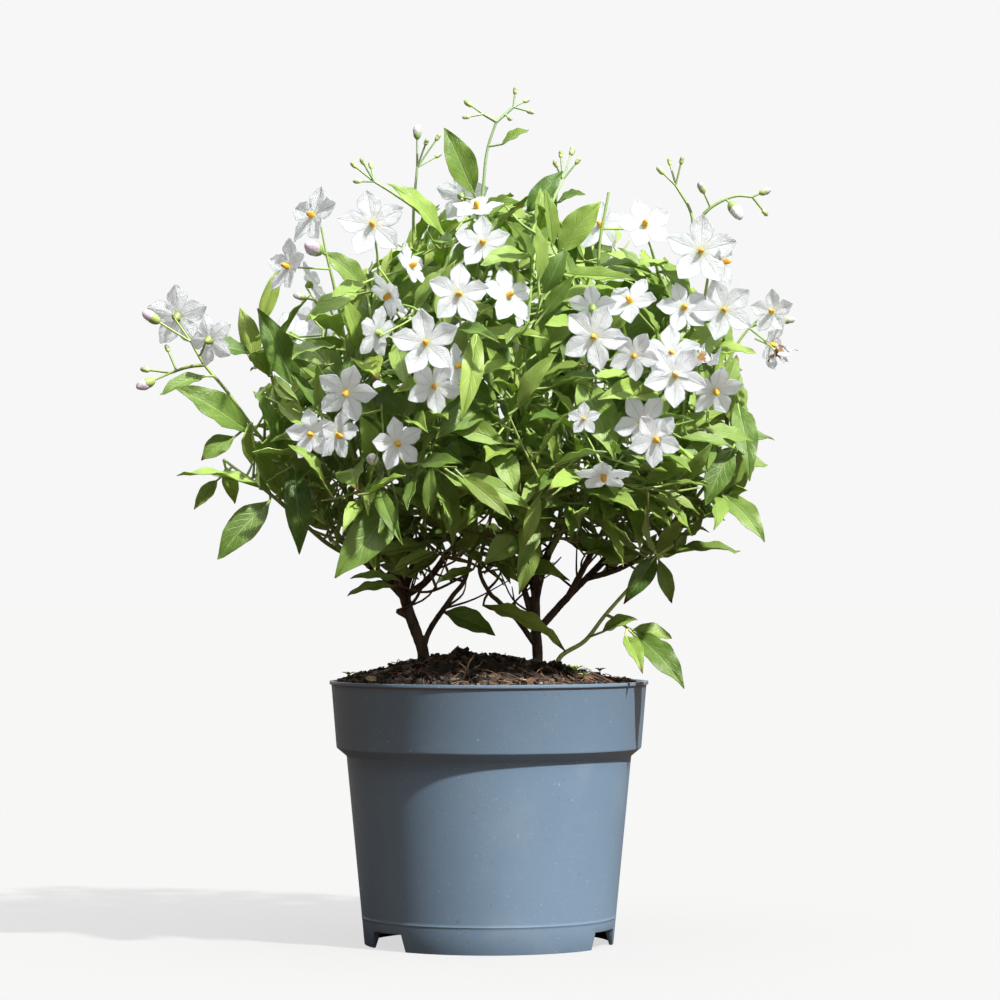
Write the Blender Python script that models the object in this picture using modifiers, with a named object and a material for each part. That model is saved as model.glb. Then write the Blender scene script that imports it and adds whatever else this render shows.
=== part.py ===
"""A potato vine, a bushy climber with white star flowers, in its plastic nursery pot.

The origin is the middle of the pot's foot, on the surface that the pot stands on, and -Y is the
plant's front. Sizes and places below are in millimetres, and MM turns them into the scene's metres.
The stems, flowers, buds and largest leaves stand where their lists say. The other leaves grow along
the stems by a rule, and each is turned until it is clear of what is there already.
"""

import math
import random

import bmesh
import bpy
from mathutils import Matrix, Vector
from mathutils.bvhtree import BVHTree

MM = 0.001
GAP = 0.3
UP = Vector((0, 0, 1))
SHARP_ANGLE = math.radians(40)

# The pot
POT_HEIGHT = 139.6
LIP_RADIUS = 85.0
LIP_THICKNESS = 1.7
BAND_TOP_RADIUS = 84.0
BAND_BOTTOM_RADIUS = 81.3
BAND_BOTTOM = 104.8
STEP_BOTTOM = 99.7
WALL_TOP_RADIUS = 75.9
FOOT_RADIUS = 66.3
POT_WALL = 1.6
FLOOR_RAISE = 7.0
PAD_RADIUS = 38.2
FLOOR_OUTER = 63.4
POT_STEPS = 24

# The notches at the foot, as angles from +X
NOTCH_ANGLES = (-143.5, -23.0, 97.5)
NOTCH_HEIGHT = 9.0
NOTCH_WIDTH = 34.0
NOTCH_DEPTH = 17.0
NOTCH_RADIUS = 62.0
NOTCH_TOP_SHARE = 0.74

# The soil
SOIL_EDGE = 137.0
SOIL_RADIUS = 82.3
MOUND_HEIGHT = 15.5
MOUND_X = -12.0
MOUND_SPREAD = 66.0
LUMP = 1.3
SOIL_RINGS = (14.0, 30.0, 46.0, 60.0, 72.0)
HOLE_ROOM = 0.6
HOLE_BOTTOM = 132.0
HOLE_LENGTH = 40.0

# Growth
STEM_RADIUS = 1.35
STEM_TIP_RADIUS = 0.95
STALK_RADIUS = 0.62
CALYX_RADIUS = 1.9
CALYX_LENGTH = 3.2
LEAF_THICKNESS = 0.8
LEAF_SPACING = 31.0
LOWEST_LEAF = 172.0
PETIOLE_WIDTH = 1.5
ROOT_WIDTH = 0.9
STALK_START = 3.2
BLOOM_THICKNESS = 0.8
CONE_RADIUS = 1.9
CONE_LENGTH = 5.5
ROOM = 1.1
TRIES = 26
GOLDEN_TURN = math.radians(137.5)
RETRY_TURN = 0.9
RETRY_SHRINK = 0.016
LEAF_LENGTH = (34, 50)
LEAF_SHARE = (0.32, 0.4)
PETIOLE_LENGTH = (6, 10)
LEAF_DROOP = 0.45
LEAF_TILT = 0.3
LEAF_FOLD = (0.15, 0.4)
LEAF_TWIST = 0.06
LARGE_LEAF_FOLD = 0.28
LARGE_LEAF_ARCH = 0.06
BEND_TURN = 2.4
BEND_STEP = 0.035
BEND_PLACE = 0.45
ROOT_CLEARANCE = 3.0

# The crown: its middle, its half sizes, and its outline seen from the front as (x, z)
CROWN_MIDDLE = Vector((-4, 0, 285))
CROWN_HALF = Vector((172, 146, 150))
EYE = Vector((5.9, -1900, 191.6))
CROWN_OUTLINE = (
    (-131, 268), (-125, 289), (-130, 316), (-108, 330), (-96, 350), (-74, 356), (-53, 372),
    (-34, 392), (-14, 402), (8, 398), (24, 405), (42, 404), (56, 392), (72, 378), (92, 366),
    (113, 348), (132, 330), (136, 290), (145, 268), (142, 243), (124, 222), (102, 208), (81, 200),
    (59, 194), (17, 190), (-21, 192), (-48, 194), (-74, 202), (-88, 218), (-108, 232), (-126, 250),
)

# Wood: each branch as (x, y, z, radius) from its foot to its end. The first ones stand in the soil.
WOOD = {
    "wood_left": {
        "trunk": ((-35, 0, 132.5, 3.3), (-35, 0, 153, 3.3), (-38, 1, 163, 3.1),
                  (-42, 1, 174, 3.0), (-46, 0, 187, 2.9)),
        "stub": ((-42, 1, 173, 1.8), (-49, -2, 177, 1.7)),
        "far_left": ((-46, 0, 185, 2.4), (-58, -4, 197, 2.0), (-70, -8, 206, 1.8)),
        "low_left": ((-57, -4, 196, 1.7), (-64, -18, 201, 1.6)),
        "front_left": ((-46, 0, 184, 2.1), (-51, -12, 199, 1.9), (-56, -21, 212, 1.7)),
        "left_high": ((-46, 0, 185, 2.2), (-54, 3, 203, 1.9), (-60, 2, 216, 1.7)),
        "top_left": ((-46, 0, 185, 2.2), (-45, -4, 203, 1.9), (-42, -10, 219, 1.7)),
        "front": ((-46, 0, 184, 2.2), (-33, -5, 193, 1.9), (-21, -13, 209, 1.7)),
        "back_left": ((-46, 0, 185, 2.1), (-50, 14, 200, 1.9), (-56, 28, 214, 1.7)),
        "back_middle": ((-46, 0, 184, 2.1), (-41, 12, 201, 1.9), (-36, 25, 218, 1.7)),
        "middle": ((-36, 1, 152, 1.7), (-32, 3, 166, 1.6), (-22, 2, 181, 1.5)),
    },
    "wood_right": {
        "trunk": ((26, 4, 132.5, 2.9), (26, 4, 154, 2.9), (25, 3, 168, 2.7), (25, 3, 184, 2.4)),
        "top": ((25, 3, 165, 1.9), (20, 4, 184, 1.8), (14, 3, 204, 1.6)),
        "centre": ((25, 3, 182, 2.0), (26, 1, 198, 1.8), (26, -4, 212, 1.6)),
        "cut": ((26, 1, 196, 1.7), (34, -7, 214, 1.6)),
        "front_right": ((25, 3, 181, 1.9), (28, -9, 195, 1.7), (32, -22, 207, 1.6)),
        "back_centre": ((25, 3, 182, 1.9), (22, 14, 198, 1.7), (19, 26, 213, 1.6)),
        "right_outer": ((25, 3, 165, 2.3), (41, 3, 183, 2.0), (53, 2, 195, 1.8), (67, -3, 208, 1.6)),
        "right_front": ((41, 3, 182, 1.8), (49, -8, 197, 1.7), (56, -19, 211, 1.6)),
        "right_top": ((52, 2, 194, 1.7), (63, 5, 206, 1.6), (72, 6, 219, 1.5)),
        "far_right": ((52, 2, 194, 1.7), (66, -9, 198, 1.6), (77, -15, 203, 1.5)),
        "back_right": ((41, 3, 182, 1.8), (50, 14, 198, 1.7), (58, 25, 213, 1.6)),
        "low_front": ((25, 3, 158, 1.6), (16, 1, 171, 1.5), (8, -1, 179, 1.4)),
    },
}

# Leafy shoots: the wood that each grows on from, then its stems. A side stem starts on an earlier one.
SHOOTS = {
    "shoot_far_left": ("wood_left", "far_left", (
        ((-90, -16, 230), (-108, -25, 254), (-123, -31, 272), (-138, -36, 293), (-149, -38, 306),
         (-156, -38, 318)),
        ((-149, -38, 306), (-158, -36, 305), (-167, -35, 302)),
        ((-90, -16, 230), (-103, -14, 262), (-113, -16, 292), (-118, -20, 320), (-117, -22, 342)),
    )),
    "shoot_low_left": ("wood_left", "low_left", (
        ((-84, -38, 212), (-102, -50, 228), (-116, -56, 240), (-130, -54, 250), (-138, -50, 256)),
    )),
    "shoot_left_high": ("wood_left", "left_high", (
        ((-69, -18, 246), (-73, -40, 284), (-75, -54, 318), (-80, -61, 345), (-84, -62, 362)),
        ((-75, -54, 318), (-84, -58, 330), (-90, -62, 338)),
        ((-73, -40, 284), (-63, -60, 318), (-57, -72, 346), (-57, -80, 360)),
    )),
    "shoot_top_left": ("wood_left", "top_left", (
        ((-41, -14, 255), (-40, -14, 300), (-39, -16, 345), (-40, -20, 385), (-38, -20, 412)),
        ((-40, -14, 300), (-31, -24, 340), (-22, -32, 370), (-36, -36, 386), (-50, -39, 396),
         (-60, -41, 402)),
    )),
    "shoot_front_left": ("wood_left", "front_left", (
        ((-65, -44, 235), (-70, -62, 256), (-74, -74, 276), (-75, -84, 298)),
        ((-65, -44, 235), (-58, -72, 244), (-52, -92, 250)),
    )),
    "shoot_front": ("wood_left", "front", (
        ((-22, -38, 238), (-26, -64, 264), (-27, -86, 288), (-20, -98, 310), (-14, -98, 322)),
    )),
    "shoot_back_left": ("wood_left", "back_left", (
        ((-72, 42, 245), (-86, 54, 280), (-92, 62, 312), (-92, 66, 332)),
        ((-72, 42, 245), (-100, 44, 258), (-122, 44, 270)),
    )),
    "shoot_back_middle": ("wood_left", "back_middle", (
        ((-34, 52, 250), (-30, 78, 285), (-28, 90, 325), (-28, 92, 358), (-32, 76, 386)),
        ((-34, 52, 250), (-52, 84, 262), (-62, 104, 272)),
    )),
    "shoot_middle": ("wood_left", "middle", (
        ((-12, 0, 196), (-7, -8, 225), (-6, -26, 268), (-5, -46, 308), (-5, -62, 340),
         (-6, -68, 360)),
    )),
    "shoot_top": ("wood_right", "top", (
        ((8, -2, 240), (3, -10, 285), (-2, -16, 335), (-5, -22, 378), (-3, -22, 400),
         (-1, -22, 420), (4, -22, 436)),
        ((4, -22, 436), (-3, -22, 440)),
        ((4, -22, 436), (13, -20, 444)),
        ((-5, -22, 378), (-12, -34, 388), (-14, -42, 393)),
    )),
    "shoot_centre": ("wood_right", "centre", (
        ((24, -28, 240), (20, -60, 264), (18, -84, 290), (21, -84, 336), (26, -70, 373),
         (31, -54, 385), (39, -32, 404)),
    )),
    "shoot_cut": ("wood_right", "cut", (
        ((42, -24, 250), (50, -34, 290), (57, -38, 330), (58, -38, 367), (63, -36, 397)),
        ((50, -34, 290), (52, -64, 304), (53, -88, 314)),
    )),
    "shoot_front_right": ("wood_right", "front_right", (
        ((44, -50, 230), (58, -74, 250), (68, -86, 264), (74, -88, 276)),
        ((44, -50, 230), (46, -78, 252), (49, -98, 268)),
    )),
    "shoot_back_centre": ("wood_right", "back_centre", (
        ((18, 50, 245), (18, 78, 280), (22, 92, 316), (28, 92, 348), (28, 74, 380)),
        ((18, 50, 245), (30, 86, 256), (38, 108, 266)),
    )),
    "shoot_right_outer": ("wood_right", "right_outer", (
        ((88, -12, 235), (106, -22, 266), (120, -28, 295), (130, -30, 316), (137, -30, 326)),
        ((106, -22, 266), (110, -42, 300), (112, -50, 335), (114, -52, 350)),
    )),
    "shoot_right_front": ("wood_right", "right_front", (
        ((72, -44, 238), (84, -64, 262), (92, -76, 280), (94, -78, 300), (88, -76, 318)),
    )),
    "shoot_right_top": ("wood_right", "right_top", (
        ((84, -2, 252), (92, -14, 292), (100, -26, 332), (106, -38, 364), (107, -42, 378),
         (105, -42, 388), (98, -41, 400)),
        ((107, -42, 378), (116, -44, 388), (128, -43, 394), (138, -41, 394)),
        ((100, -26, 332), (90, -38, 352), (85, -46, 366)),
    )),
    "shoot_far_right": ("wood_right", "far_right", (
        ((96, -20, 220), (112, -24, 240), (126, -22, 260), (136, -18, 276)),
        ((96, -20, 220), (112, -34, 226), (124, -40, 232)),
    )),
    "shoot_back_right": ("wood_right", "back_right", (
        ((74, 38, 245), (88, 52, 280), (98, 58, 312), (102, 58, 336)),
        ((74, 38, 245), (102, 46, 258), (124, 44, 268)),
    )),
    "shoot_low_front": ("wood_right", "low_front", (
        ((0, -6, 187), (-5, -16, 200), (0, -44, 222), (6, -70, 246), (10, -86, 268), (13, -94, 290)),
    )),
    "shoot_sucker": (None, None, (
        ((37, -8, 132.4), (37, -8, 151), (51, -10, 161), (62, -12, 175), (78, -16, 193),
         (90, -20, 206), (100, -22, 214)),
        ((62, -12, 175), (68, -18, 172), (73, -22, 168)),
    )),
}

# Blooms by node: the shoot that bears each, its middle, the way it faces as degrees to the right
# and up, the turn of its petals in degrees, and its radius. Blooms that touch share a node.
BLOOMS = {
    "bloom_far_left": (("shoot_far_left", (-164, -30, 332), 165, 25, 18, 17),),
    "bloom_left_of_crown": (("shoot_far_left", (-145, -54, 318), 150, 20, 0, 14),),
    "bloom_left_top": (("shoot_left_high", (-91, -62, 382), -55, 8, 18, 17),),
    "bloom_upper_left": (("shoot_left_high", (-59, -95, 374), -5, 8, 28, 18),),
    "bloom_left_edge": (("shoot_left_high", (-103, -76, 354), -62, 0, 18, 15),),
    "bloom_left_inner": (("shoot_left_high", (-92, -50, 348), 110, 30, 18, 12),),
    "bloom_nodding_left": (("shoot_left_high", (-50, -98, 338), -60, -35, 18, 14),),
    "bloom_turned_left": (("shoot_left_high", (-56, -106, 318), -130, 15, 18, 14),),
    "bloom_behind_left": (("shoot_left_high", (-40, -80, 354), 60, 25, 18, 13),),
    "bloom_front_upper_left": (("shoot_front", (-15, -125, 336), 12, 5, 12, 16),),
    "bloom_front_upper_right": (("shoot_front", (10, -113, 336), 38, 22, 18, 16),),
    "bloom_front_middle": (("shoot_front", (-31, -132, 311), -3, 5, 26, 17.5),),
    "bloom_front_lower": (("shoot_front", (-27, -126, 290), 5, -15, -10, 14.5),
                          ("shoot_front", (-16, -120, 300), 50, 10, 18, 12)),
    "bloom_top_middle": (("shoot_middle", (-3, -100, 364), 0, 15, 18, 14.5),),
    "bloom_top_upright": (("shoot_middle", (-6, -78, 384), -10, 62, 18, 14),),
    "bloom_top_turned": (("shoot_top", (-14, -8, 398), 175, 15, 18, 14.5),),
    "bloom_cut_stem": (("shoot_cut", (59, -18, 381), -15, 20, 18, 15),),
    "bloom_right_upright": (("shoot_right_top", (81, -62, 377), 8, 28, 30, 15.5),),
    "bloom_right_top": (("shoot_right_outer", (109, -77, 362), 4, 5, 15, 19),
                        ("shoot_right_outer", (121, -66, 358), 70, 0, 18, 14)),
    "bloom_right_pair": (("shoot_right_outer", (121, -75, 332), -4, 5, 38, 16.5),
                         ("shoot_right_front", (100, -74, 333), 12, 12, 30, 14)),
    "bloom_right_edge": (("shoot_right_outer", (149, -34, 334), -35, 0, 18, 12.5),
                         ("shoot_right_outer", (148, -36, 317), 55, -30, 0, 12)),
    "bloom_right_inner": (("shoot_cut", (53, -119, 315), -15, -8, -6, 17),),
    "bloom_right_raised": (("shoot_right_front", (72, -102, 334), -30, 38, 0, 15),
                           ("shoot_cut", (53, -103, 331), 170, 35, 18, 13)),
    "bloom_right_front": (("shoot_right_front", (73, -117, 306), -5, -25, -12, 13),),
    "bloom_right_double": (("shoot_right_front", (94, -112, 296), 4, 3, -20, 16.5),
                           ("shoot_right_front", (92, -109, 307), 0, 14, 18, 15.5)),
    "bloom_right_nodding": (("shoot_right_front", (116, -84, 290), 20, -45, 18, 15),),
    "bloom_small": (("shoot_front_right", (48, -118, 274), 0, 0, 18, 8.5),),
    "bloom_lower_pair": (("shoot_front_right", (78, -105, 273), -22, 5, 50, 15.5),
                         ("shoot_front_right", (84, -109, 264), 20, -12, 54, 14.5)),
    "bloom_hanging": (("shoot_front_right", (58, -110, 246), -5, -62, 18, 15),),
    "bloom_left_raised": (("shoot_front_left", (-72, -103, 288), -10, -38, 0, 16),),
    "bloom_left_pair": (("shoot_front_left", (-90, -92, 267), -18, -5, 26, 13.5),
                        ("shoot_front_left", (-77, -94, 267), 45, -25, 18, 14)),
    "bloom_left_lower": (("shoot_front_left", (-46, -112, 262), 22, -12, 32, 14),),
    "bloom_back_left": (("shoot_back_left", (-95, 84, 338), 150, 15, 18, 16),
                        ("shoot_back_left", (-110, 82, 329), -150, 5, 0, 15)),
    "bloom_back_top": (("shoot_back_middle", (-28, 112, 372), 175, 20, 18, 16),
                       ("shoot_back_middle", (-45, 112, 363), -160, 10, 40, 14)),
    "bloom_back_right": (("shoot_back_right", (104, 80, 344), 150, 15, 18, 16),
                         ("shoot_back_right", (118, 70, 332), 130, 0, 30, 14)),
}

# Buds: the shoot that bears each, its middle, and its length
BUDS = (
    ("shoot_far_left", (-177, -40, 331), 8), ("shoot_far_left", (-169, -34, 315), 4),
    ("shoot_far_left", (-181, -30, 304), 5), ("shoot_far_left", (-180, -38, 296), 8),
    ("shoot_left_high", (-90, -74, 364), 11), ("shoot_left_high", (-98, -62, 340), 6),
    ("shoot_top_left", (-71, -38, 411), 4), ("shoot_top_left", (-66, -46, 412), 4),
    ("shoot_top_left", (-69, -42, 402), 4), ("shoot_top_left", (-62, -38, 411), 4),
    ("shoot_top_left", (-38, -19, 431), 7), ("shoot_top_left", (-33, -25, 425), 4),
    ("shoot_top_left", (-27, -20, 428), 4), ("shoot_top_left", (-27, -14, 419), 4),
    ("shoot_top", (-11, -20, 446), 5), ("shoot_top", (-12, -25, 438), 4),
    ("shoot_top", (14, -19, 453), 4), ("shoot_top", (20, -17, 448), 4),
    ("shoot_top", (22, -23, 441), 4), ("shoot_top", (11, -27, 437), 4),
    ("shoot_centre", (38, -28, 418), 4), ("shoot_centre", (44, -26, 420), 5),
    ("shoot_centre", (47, -32, 414), 4), ("shoot_centre", (35, -36, 412), 4),
    ("shoot_right_top", (90, -40, 408), 5), ("shoot_right_top", (95, -36, 413), 4),
    ("shoot_right_top", (101, -43, 413), 4), ("shoot_right_top", (111, -49, 398), 6),
    ("shoot_right_top", (129, -47, 386), 9), ("shoot_right_top", (145, -40, 397), 6),
    ("shoot_right_top", (145, -37, 386), 4), ("shoot_low_front", (14, -106, 311), 5),
    ("shoot_front_left", (-58, -109, 254), 8), ("shoot_right_outer", (158, -31, 330), 6),
    ("shoot_back_middle", (-34, 68, 398), 5), ("shoot_back_centre", (26, 66, 394), 5),
    ("shoot_back_centre", (34, 70, 390), 4), ("shoot_back_right", (106, 56, 350), 5),
)

# The largest leaves: the shoot, the foot and the tip of the blade, its width, and how far its
# upper face leans from the sky towards the front, in degrees
LEAVES = (
    ("shoot_far_left", (-126, -36, 271), (-162, -55, 294), 19, 60),
    ("shoot_far_left", (-148, -42, 300), (-171, -52, 290), 10, 40),
    ("shoot_far_left", (-121, -24, 328), (-110, -20, 361), 9, 80),
    ("shoot_far_left", (-101, -30, 294), (-121, -36, 336), 17, 75),
    ("shoot_far_left", (-124, -18, 307), (-132, -16, 338), 12, 60),
    ("shoot_far_left", (-126, -28, 313), (-151, -38, 317), 13, 50),
    ("shoot_low_left", (-114, -58, 240), (-161, -60, 249), 11, 12),
    ("shoot_low_left", (-113, -64, 234), (-139, -76, 204), 17, 62),
    ("shoot_low_left", (-101, -62, 252), (-97, -74, 207), 15, 88),
    ("shoot_low_left", (-141, -55, 245), (-153, -56, 230), 8, 60),
    ("shoot_low_left", (-137, -52, 252), (-132, -50, 233), 9, 60),
    ("shoot_far_left", (-133, -42, 268), (-150, -46, 256), 12, 60),
    ("shoot_front_left", (-46, -95, 232), (-77, -112, 195), 22, 65),
    ("shoot_left_high", (-68, -64, 341), (-94, -76, 327), 13, 45),
    ("shoot_left_high", (-64, -48, 345), (-87, -54, 365), 14, 60),
    ("shoot_top_left", (-24, -36, 374), (-52, -47, 401), 14, 45),
    ("shoot_top", (-8, -30, 397), (-23, -36, 431), 17, 78),
    ("shoot_top", (7, -24, 424), (21, -28, 431), 9, 40),
    ("shoot_centre", (21, -94, 358), (-4, -112, 352), 13, 40),
    ("shoot_centre", (20, -48, 385), (39, -40, 408), 12, 60),
    ("shoot_centre", (36, -42, 391), (50, -50, 395), 10, 40),
    ("shoot_centre", (36, -62, 362), (58, -66, 389), 16, 68),
    ("shoot_front", (-6, -112, 318), (-13, -129, 273), 12, 85),
    ("shoot_centre", (16, -96, 300), (-4, -118, 297), 12, 28),
    ("shoot_low_front", (3, -100, 284), (-26, -124, 265), 16, 55),
    ("shoot_cut", (46, -92, 296), (64, -118, 255), 20, 72),
    ("shoot_front_right", (50, -88, 238), (76, -108, 229), 14, 40),
    ("shoot_far_right", (131, -32, 286), (136, -55, 246), 14, 84),
    ("shoot_far_right", (122, -42, 238), (143, -60, 214), 14, 60),
    ("shoot_right_outer", (121, -14, 267), (152, -12, 269), 12, 30),
    ("shoot_far_right", (124, -26, 254), (147, -28, 254), 13, 45),
    ("shoot_low_front", (-3, -10, 180), (41, -32, 158), 13, 35),
    ("shoot_middle", (-24, 6, 176), (4, 12, 164), 14, 60),
    ("shoot_front", (-30, -106, 226), (-29, -112, 252), 8, 85),
    ("shoot_sucker", (94, -22, 207), (132, -32, 209), 12, 25),
    ("shoot_sucker", (60, -16, 166), (78, -22, 173), 11, 40),
    ("shoot_sucker", (75, -26, 166), (102, -46, 138), 16, 60),
    ("shoot_sucker", (76, -22, 167), (97, -20, 163), 12, 45),
    ("shoot_sucker", (72, -30, 164), (80, -52, 146), 10, 60),
    ("shoot_sucker", (88, -28, 206), (71, -34, 181), 12, 70),
    ("shoot_sucker", (90, -18, 204), (97, -18, 181), 9, 75),
)


def across(way, turn=0.0):
    """A direction square to way, turned about it."""
    side = way.cross(UP) if abs(way.z) < 0.95 * way.length else way.cross(Vector((1, 0, 0)))
    return Matrix.Rotation(turn, 3, way.normalized()) @ side.normalized()


def seen_from_front(place):
    """Where the eye sees a place on the plane through the pot's axis."""
    nearness = -EYE.y / (place.y - EYE.y)
    return EYE.x + (place.x - EYE.x) * nearness, EYE.z + (place.z - EYE.z) * nearness


def inside_outline(x, z):
    inside = False
    for (x1, z1), (x2, z2) in zip(CROWN_OUTLINE, CROWN_OUTLINE[1:] + CROWN_OUTLINE[:1]):
        if (z1 > z) != (z2 > z) and x < x1 + (x2 - x1) * (z - z1) / (z2 - z1):
            inside = not inside
    return inside


def facing(right, up):
    """The direction so many degrees to the right of the front, and up."""
    right, up = math.radians(right), math.radians(up)
    return Vector((math.sin(right) * math.cos(up), -math.cos(right) * math.cos(up), math.sin(up)))


def soil_height(x, y):
    """The top of the soil: a low mound left of the middle, with lumps, that ends at the rim."""
    spread = math.exp(-((x - MOUND_X) ** 2 + y * y) / MOUND_SPREAD**2)
    lumps = math.sin(0.23 * x + 1.3) * math.cos(0.19 * y) + math.sin(0.11 * x - 0.27 * y)
    fade = 1 - min(1, math.hypot(x, y) / SOIL_RADIUS) ** 4
    return SOIL_EDGE + (MOUND_HEIGHT * spread + LUMP * lumps) * fade


# Places are planned first, as plain records, so that every piece is clear of the others.


class Plan:
    """What stands where, with a rough hull of each piece that later ones keep clear of."""

    def __init__(self):
        self.taken = []
        self.stems = {}
        self.stalks = []
        self.leaves = []

    def take(self, owner, points, faces, kind):
        low = [min(p[i] for p in points) for i in range(3)]
        high = [max(p[i] for p in points) for i in range(3)]
        self.taken.append((owner, kind, BVHTree.FromPolygons(points, faces), low, high))

    def clashes(self, points, faces, skip):
        """The pieces that this hull meets, leaving out those that skip says yes to."""
        low = [min(p[i] for p in points) for i in range(3)]
        high = [max(p[i] for p in points) for i in range(3)]
        tree = BVHTree.FromPolygons(points, faces)
        for owner, kind, other, low_2, high_2 in self.taken:
            if any(low[i] > high_2[i] or high[i] < low_2[i] for i in range(3)):
                continue
            if not skip(owner, kind) and tree.overlap(other):
                yield owner, kind


def tube_hull(points, radii, sides=4):
    """A rough tube round a line of points."""
    rings, faces = [], []
    for i, place in enumerate(points):
        way = points[min(i + 1, len(points) - 1)] - points[max(i - 1, 0)]
        rings += [place + across(way, math.tau * k / sides) * radii[i] for k in range(sides)]
    for i in range(len(points) - 1):
        for k in range(sides):
            a, b = i * sides + k, i * sides + (k + 1) % sides
            faces.append((a, b, b + sides, a + sides))
    return rings, faces


def leaf_rows(leaf, grow=0.0):
    """The leaf's crosswise rows from root to tip, as (left, right), and its middle's sunk point."""
    root, base, tip, width = leaf["root"], leaf["base"], leaf["tip"], leaf["width"]
    axis = tip - base
    side = axis.cross(leaf["up"]).normalized()
    normal = side.cross(axis).normalized()
    stalk_side = (base - root).cross(leaf["up"]).normalized()
    if stalk_side.dot(side) < 0:
        stalk_side = -stalk_side
    blade, middle = [], None
    for reach, share in leaf["stations"]:
        place = base + axis * reach + normal * leaf["arch"] * axis.length * 4 * reach * (1 - reach)
        spread = side * (width / 2 * share * math.cos(leaf["fold"]) + grow)
        lift = normal * width / 2 * share * math.sin(leaf["fold"])
        sway = normal * leaf["twist"] * width * share
        blade.append((place - spread + lift - sway, place + spread + lift + sway))
        middle = middle or place
    half = PETIOLE_WIDTH / 2
    if not leaf["stalked"]:
        share = (base - root).length / (middle - root).length
        base, half = root.lerp(middle, share), width / 2 * share
    rows = [(root - stalk_side * (ROOT_WIDTH / 2 + grow), root + stalk_side * (ROOT_WIDTH / 2 + grow)),
            (base - side * (half + grow), base + side * (half + grow))]
    return rows + blade, middle, tip + axis.normalized() * grow, normal


def slab(rim, offset, peaks):
    """A closed hull: a rim thickened by the offset both ways, its two sides closed over the peaks."""
    count = len(rim)
    points = [p + offset for p in rim] + [p - offset for p in rim] + list(peaks)
    faces = [(i, (i + 1) % count, (i + 1) % count + count, i + count) for i in range(count)]
    faces += [(i, (i + 1) % count, 2 * count) for i in range(count)]
    faces += [(i + count, (i + 1) % count + count, 2 * count + 1) for i in range(count)]
    return points, faces


def leaf_hull(leaf, stalk):
    """A closed hull round the blade, or with stalk round the petiole, with room to spare."""
    rows, middle, tip, normal = leaf_rows(leaf, ROOM)
    if stalk:
        start = min(0.9, STALK_START / (rows[1][0] - rows[0][0]).length)
        near = [rows[0][i].lerp(rows[1][i], start) for i in (0, 1)]
        rim = [near[0], rows[1][0], rows[1][1], near[1]]
        middle = (rim[0] + rim[2]) / 2
        normal = (rim[3] - rim[0]).cross(rim[1] - rim[0]).normalized()
    else:
        rim = [left for left, _ in rows[1:]] + [tip] + [right for _, right in reversed(rows[1:])]
    return slab(rim, normal * ROOM, (middle + normal * ROOM, middle - normal * ROOM))


def bloom_frame(bloom):
    """The bloom's middle, the way it faces, and its two cross directions turned with its petals."""
    place, right, up, turn = Vector(bloom[1]), bloom[2], bloom[3], math.radians(bloom[4])
    ahead = facing(right, up)
    flat = Vector((math.cos(math.radians(right)), math.sin(math.radians(right)), 0))
    rise = ahead.cross(flat)
    return place, ahead, flat * math.cos(turn) + rise * math.sin(turn), (
        rise * math.cos(turn) - flat * math.sin(turn))


def petal_points(bloom, k):
    """One petal's notch before it, its two shoulders and its tip."""
    place, ahead, flat, rise = bloom_frame(bloom)
    size = bloom[5]

    def at(reach, degrees, lift):
        angle = math.radians(72 * k + degrees)
        return place + (flat * math.cos(angle) + rise * math.sin(angle)) * reach * size + (
            ahead * lift * size)

    return at(0.34, -36, 0), at(0.62, -28, 0.07), at(0.62, 28, 0.07), at(1.0, 0, 0.02)


def bloom_hull(bloom, room):
    """A rough closed star, thickened by room both ways, with a spike for its cone."""
    place, ahead, _, _ = bloom_frame(bloom)
    rim = []
    for k in range(5):
        notch, left, right, tip = petal_points(bloom, k)
        rim += [notch, left, tip, right]
    return slab(rim, ahead * room, (place + ahead * (CONE_LENGTH + 2), place - ahead * room))


def wood_end(tree, branch):
    """The middle of a branch's end face, and the way it points."""
    *_, before, last = (Vector(knot[:3]) for knot in WOOD[tree][branch])
    return last, (last - before).normalized()


def plan_stems(plan):
    """The shoots' stems as lines with radii. A shoot starts a hair off the end of its wood."""
    for shoot, (tree, branch, stems) in SHOOTS.items():
        lines = []
        for index, stem in enumerate(stems):
            line = [Vector(knot) for knot in stem]
            if index == 0 and tree:
                end, way = wood_end(tree, branch)
                line = [end + way * GAP, end + way * 5] + line
            thick = STEM_RADIUS if index == 0 else STEM_TIP_RADIUS
            radii = [thick + (STEM_TIP_RADIUS - thick) * i / (len(line) - 1) for i in range(len(line))]
            lines.append((line, radii))
        plan.stems[shoot] = lines
        for line, radii in lines:
            for a in range(len(line) - 1):
                plan.take(shoot, *tube_hull(line[a:a + 2], radii[a:a + 2]), "stem")


def plan_wood(plan):
    for tree, branches in WOOD.items():
        for knots in branches.values():
            line = [Vector(knot[:3]) for knot in knots]
            plan.take(tree, *tube_hull(line, [knot[3] for knot in knots]), "wood")


def plan_pot(plan):
    """The pot's outside and the soil's top, as rings."""
    sides, rings = 24, ((FOOT_RADIUS, 0), (WALL_TOP_RADIUS, STEP_BOTTOM), (LIP_RADIUS, POT_HEIGHT))
    points, faces = [], []
    for radius, z in rings:
        for k in range(sides):
            angle = math.tau * k / sides
            points.append(Vector((radius * math.cos(angle), radius * math.sin(angle), z)))
    for radius in (SOIL_RADIUS,) + SOIL_RINGS[::-1]:
        for k in range(sides):
            x, y = radius * math.cos(math.tau * k / sides), radius * math.sin(math.tau * k / sides)
            points.append(Vector((x, y, soil_height(x, y))))
    for ring in range(len(points) // sides - 1):
        for k in range(sides):
            a, b = ring * sides + k, ring * sides + (k + 1) % sides
            faces.append((a, b, b + sides, a + sides))
    plan.take("pot", points, faces, "pot")


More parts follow.
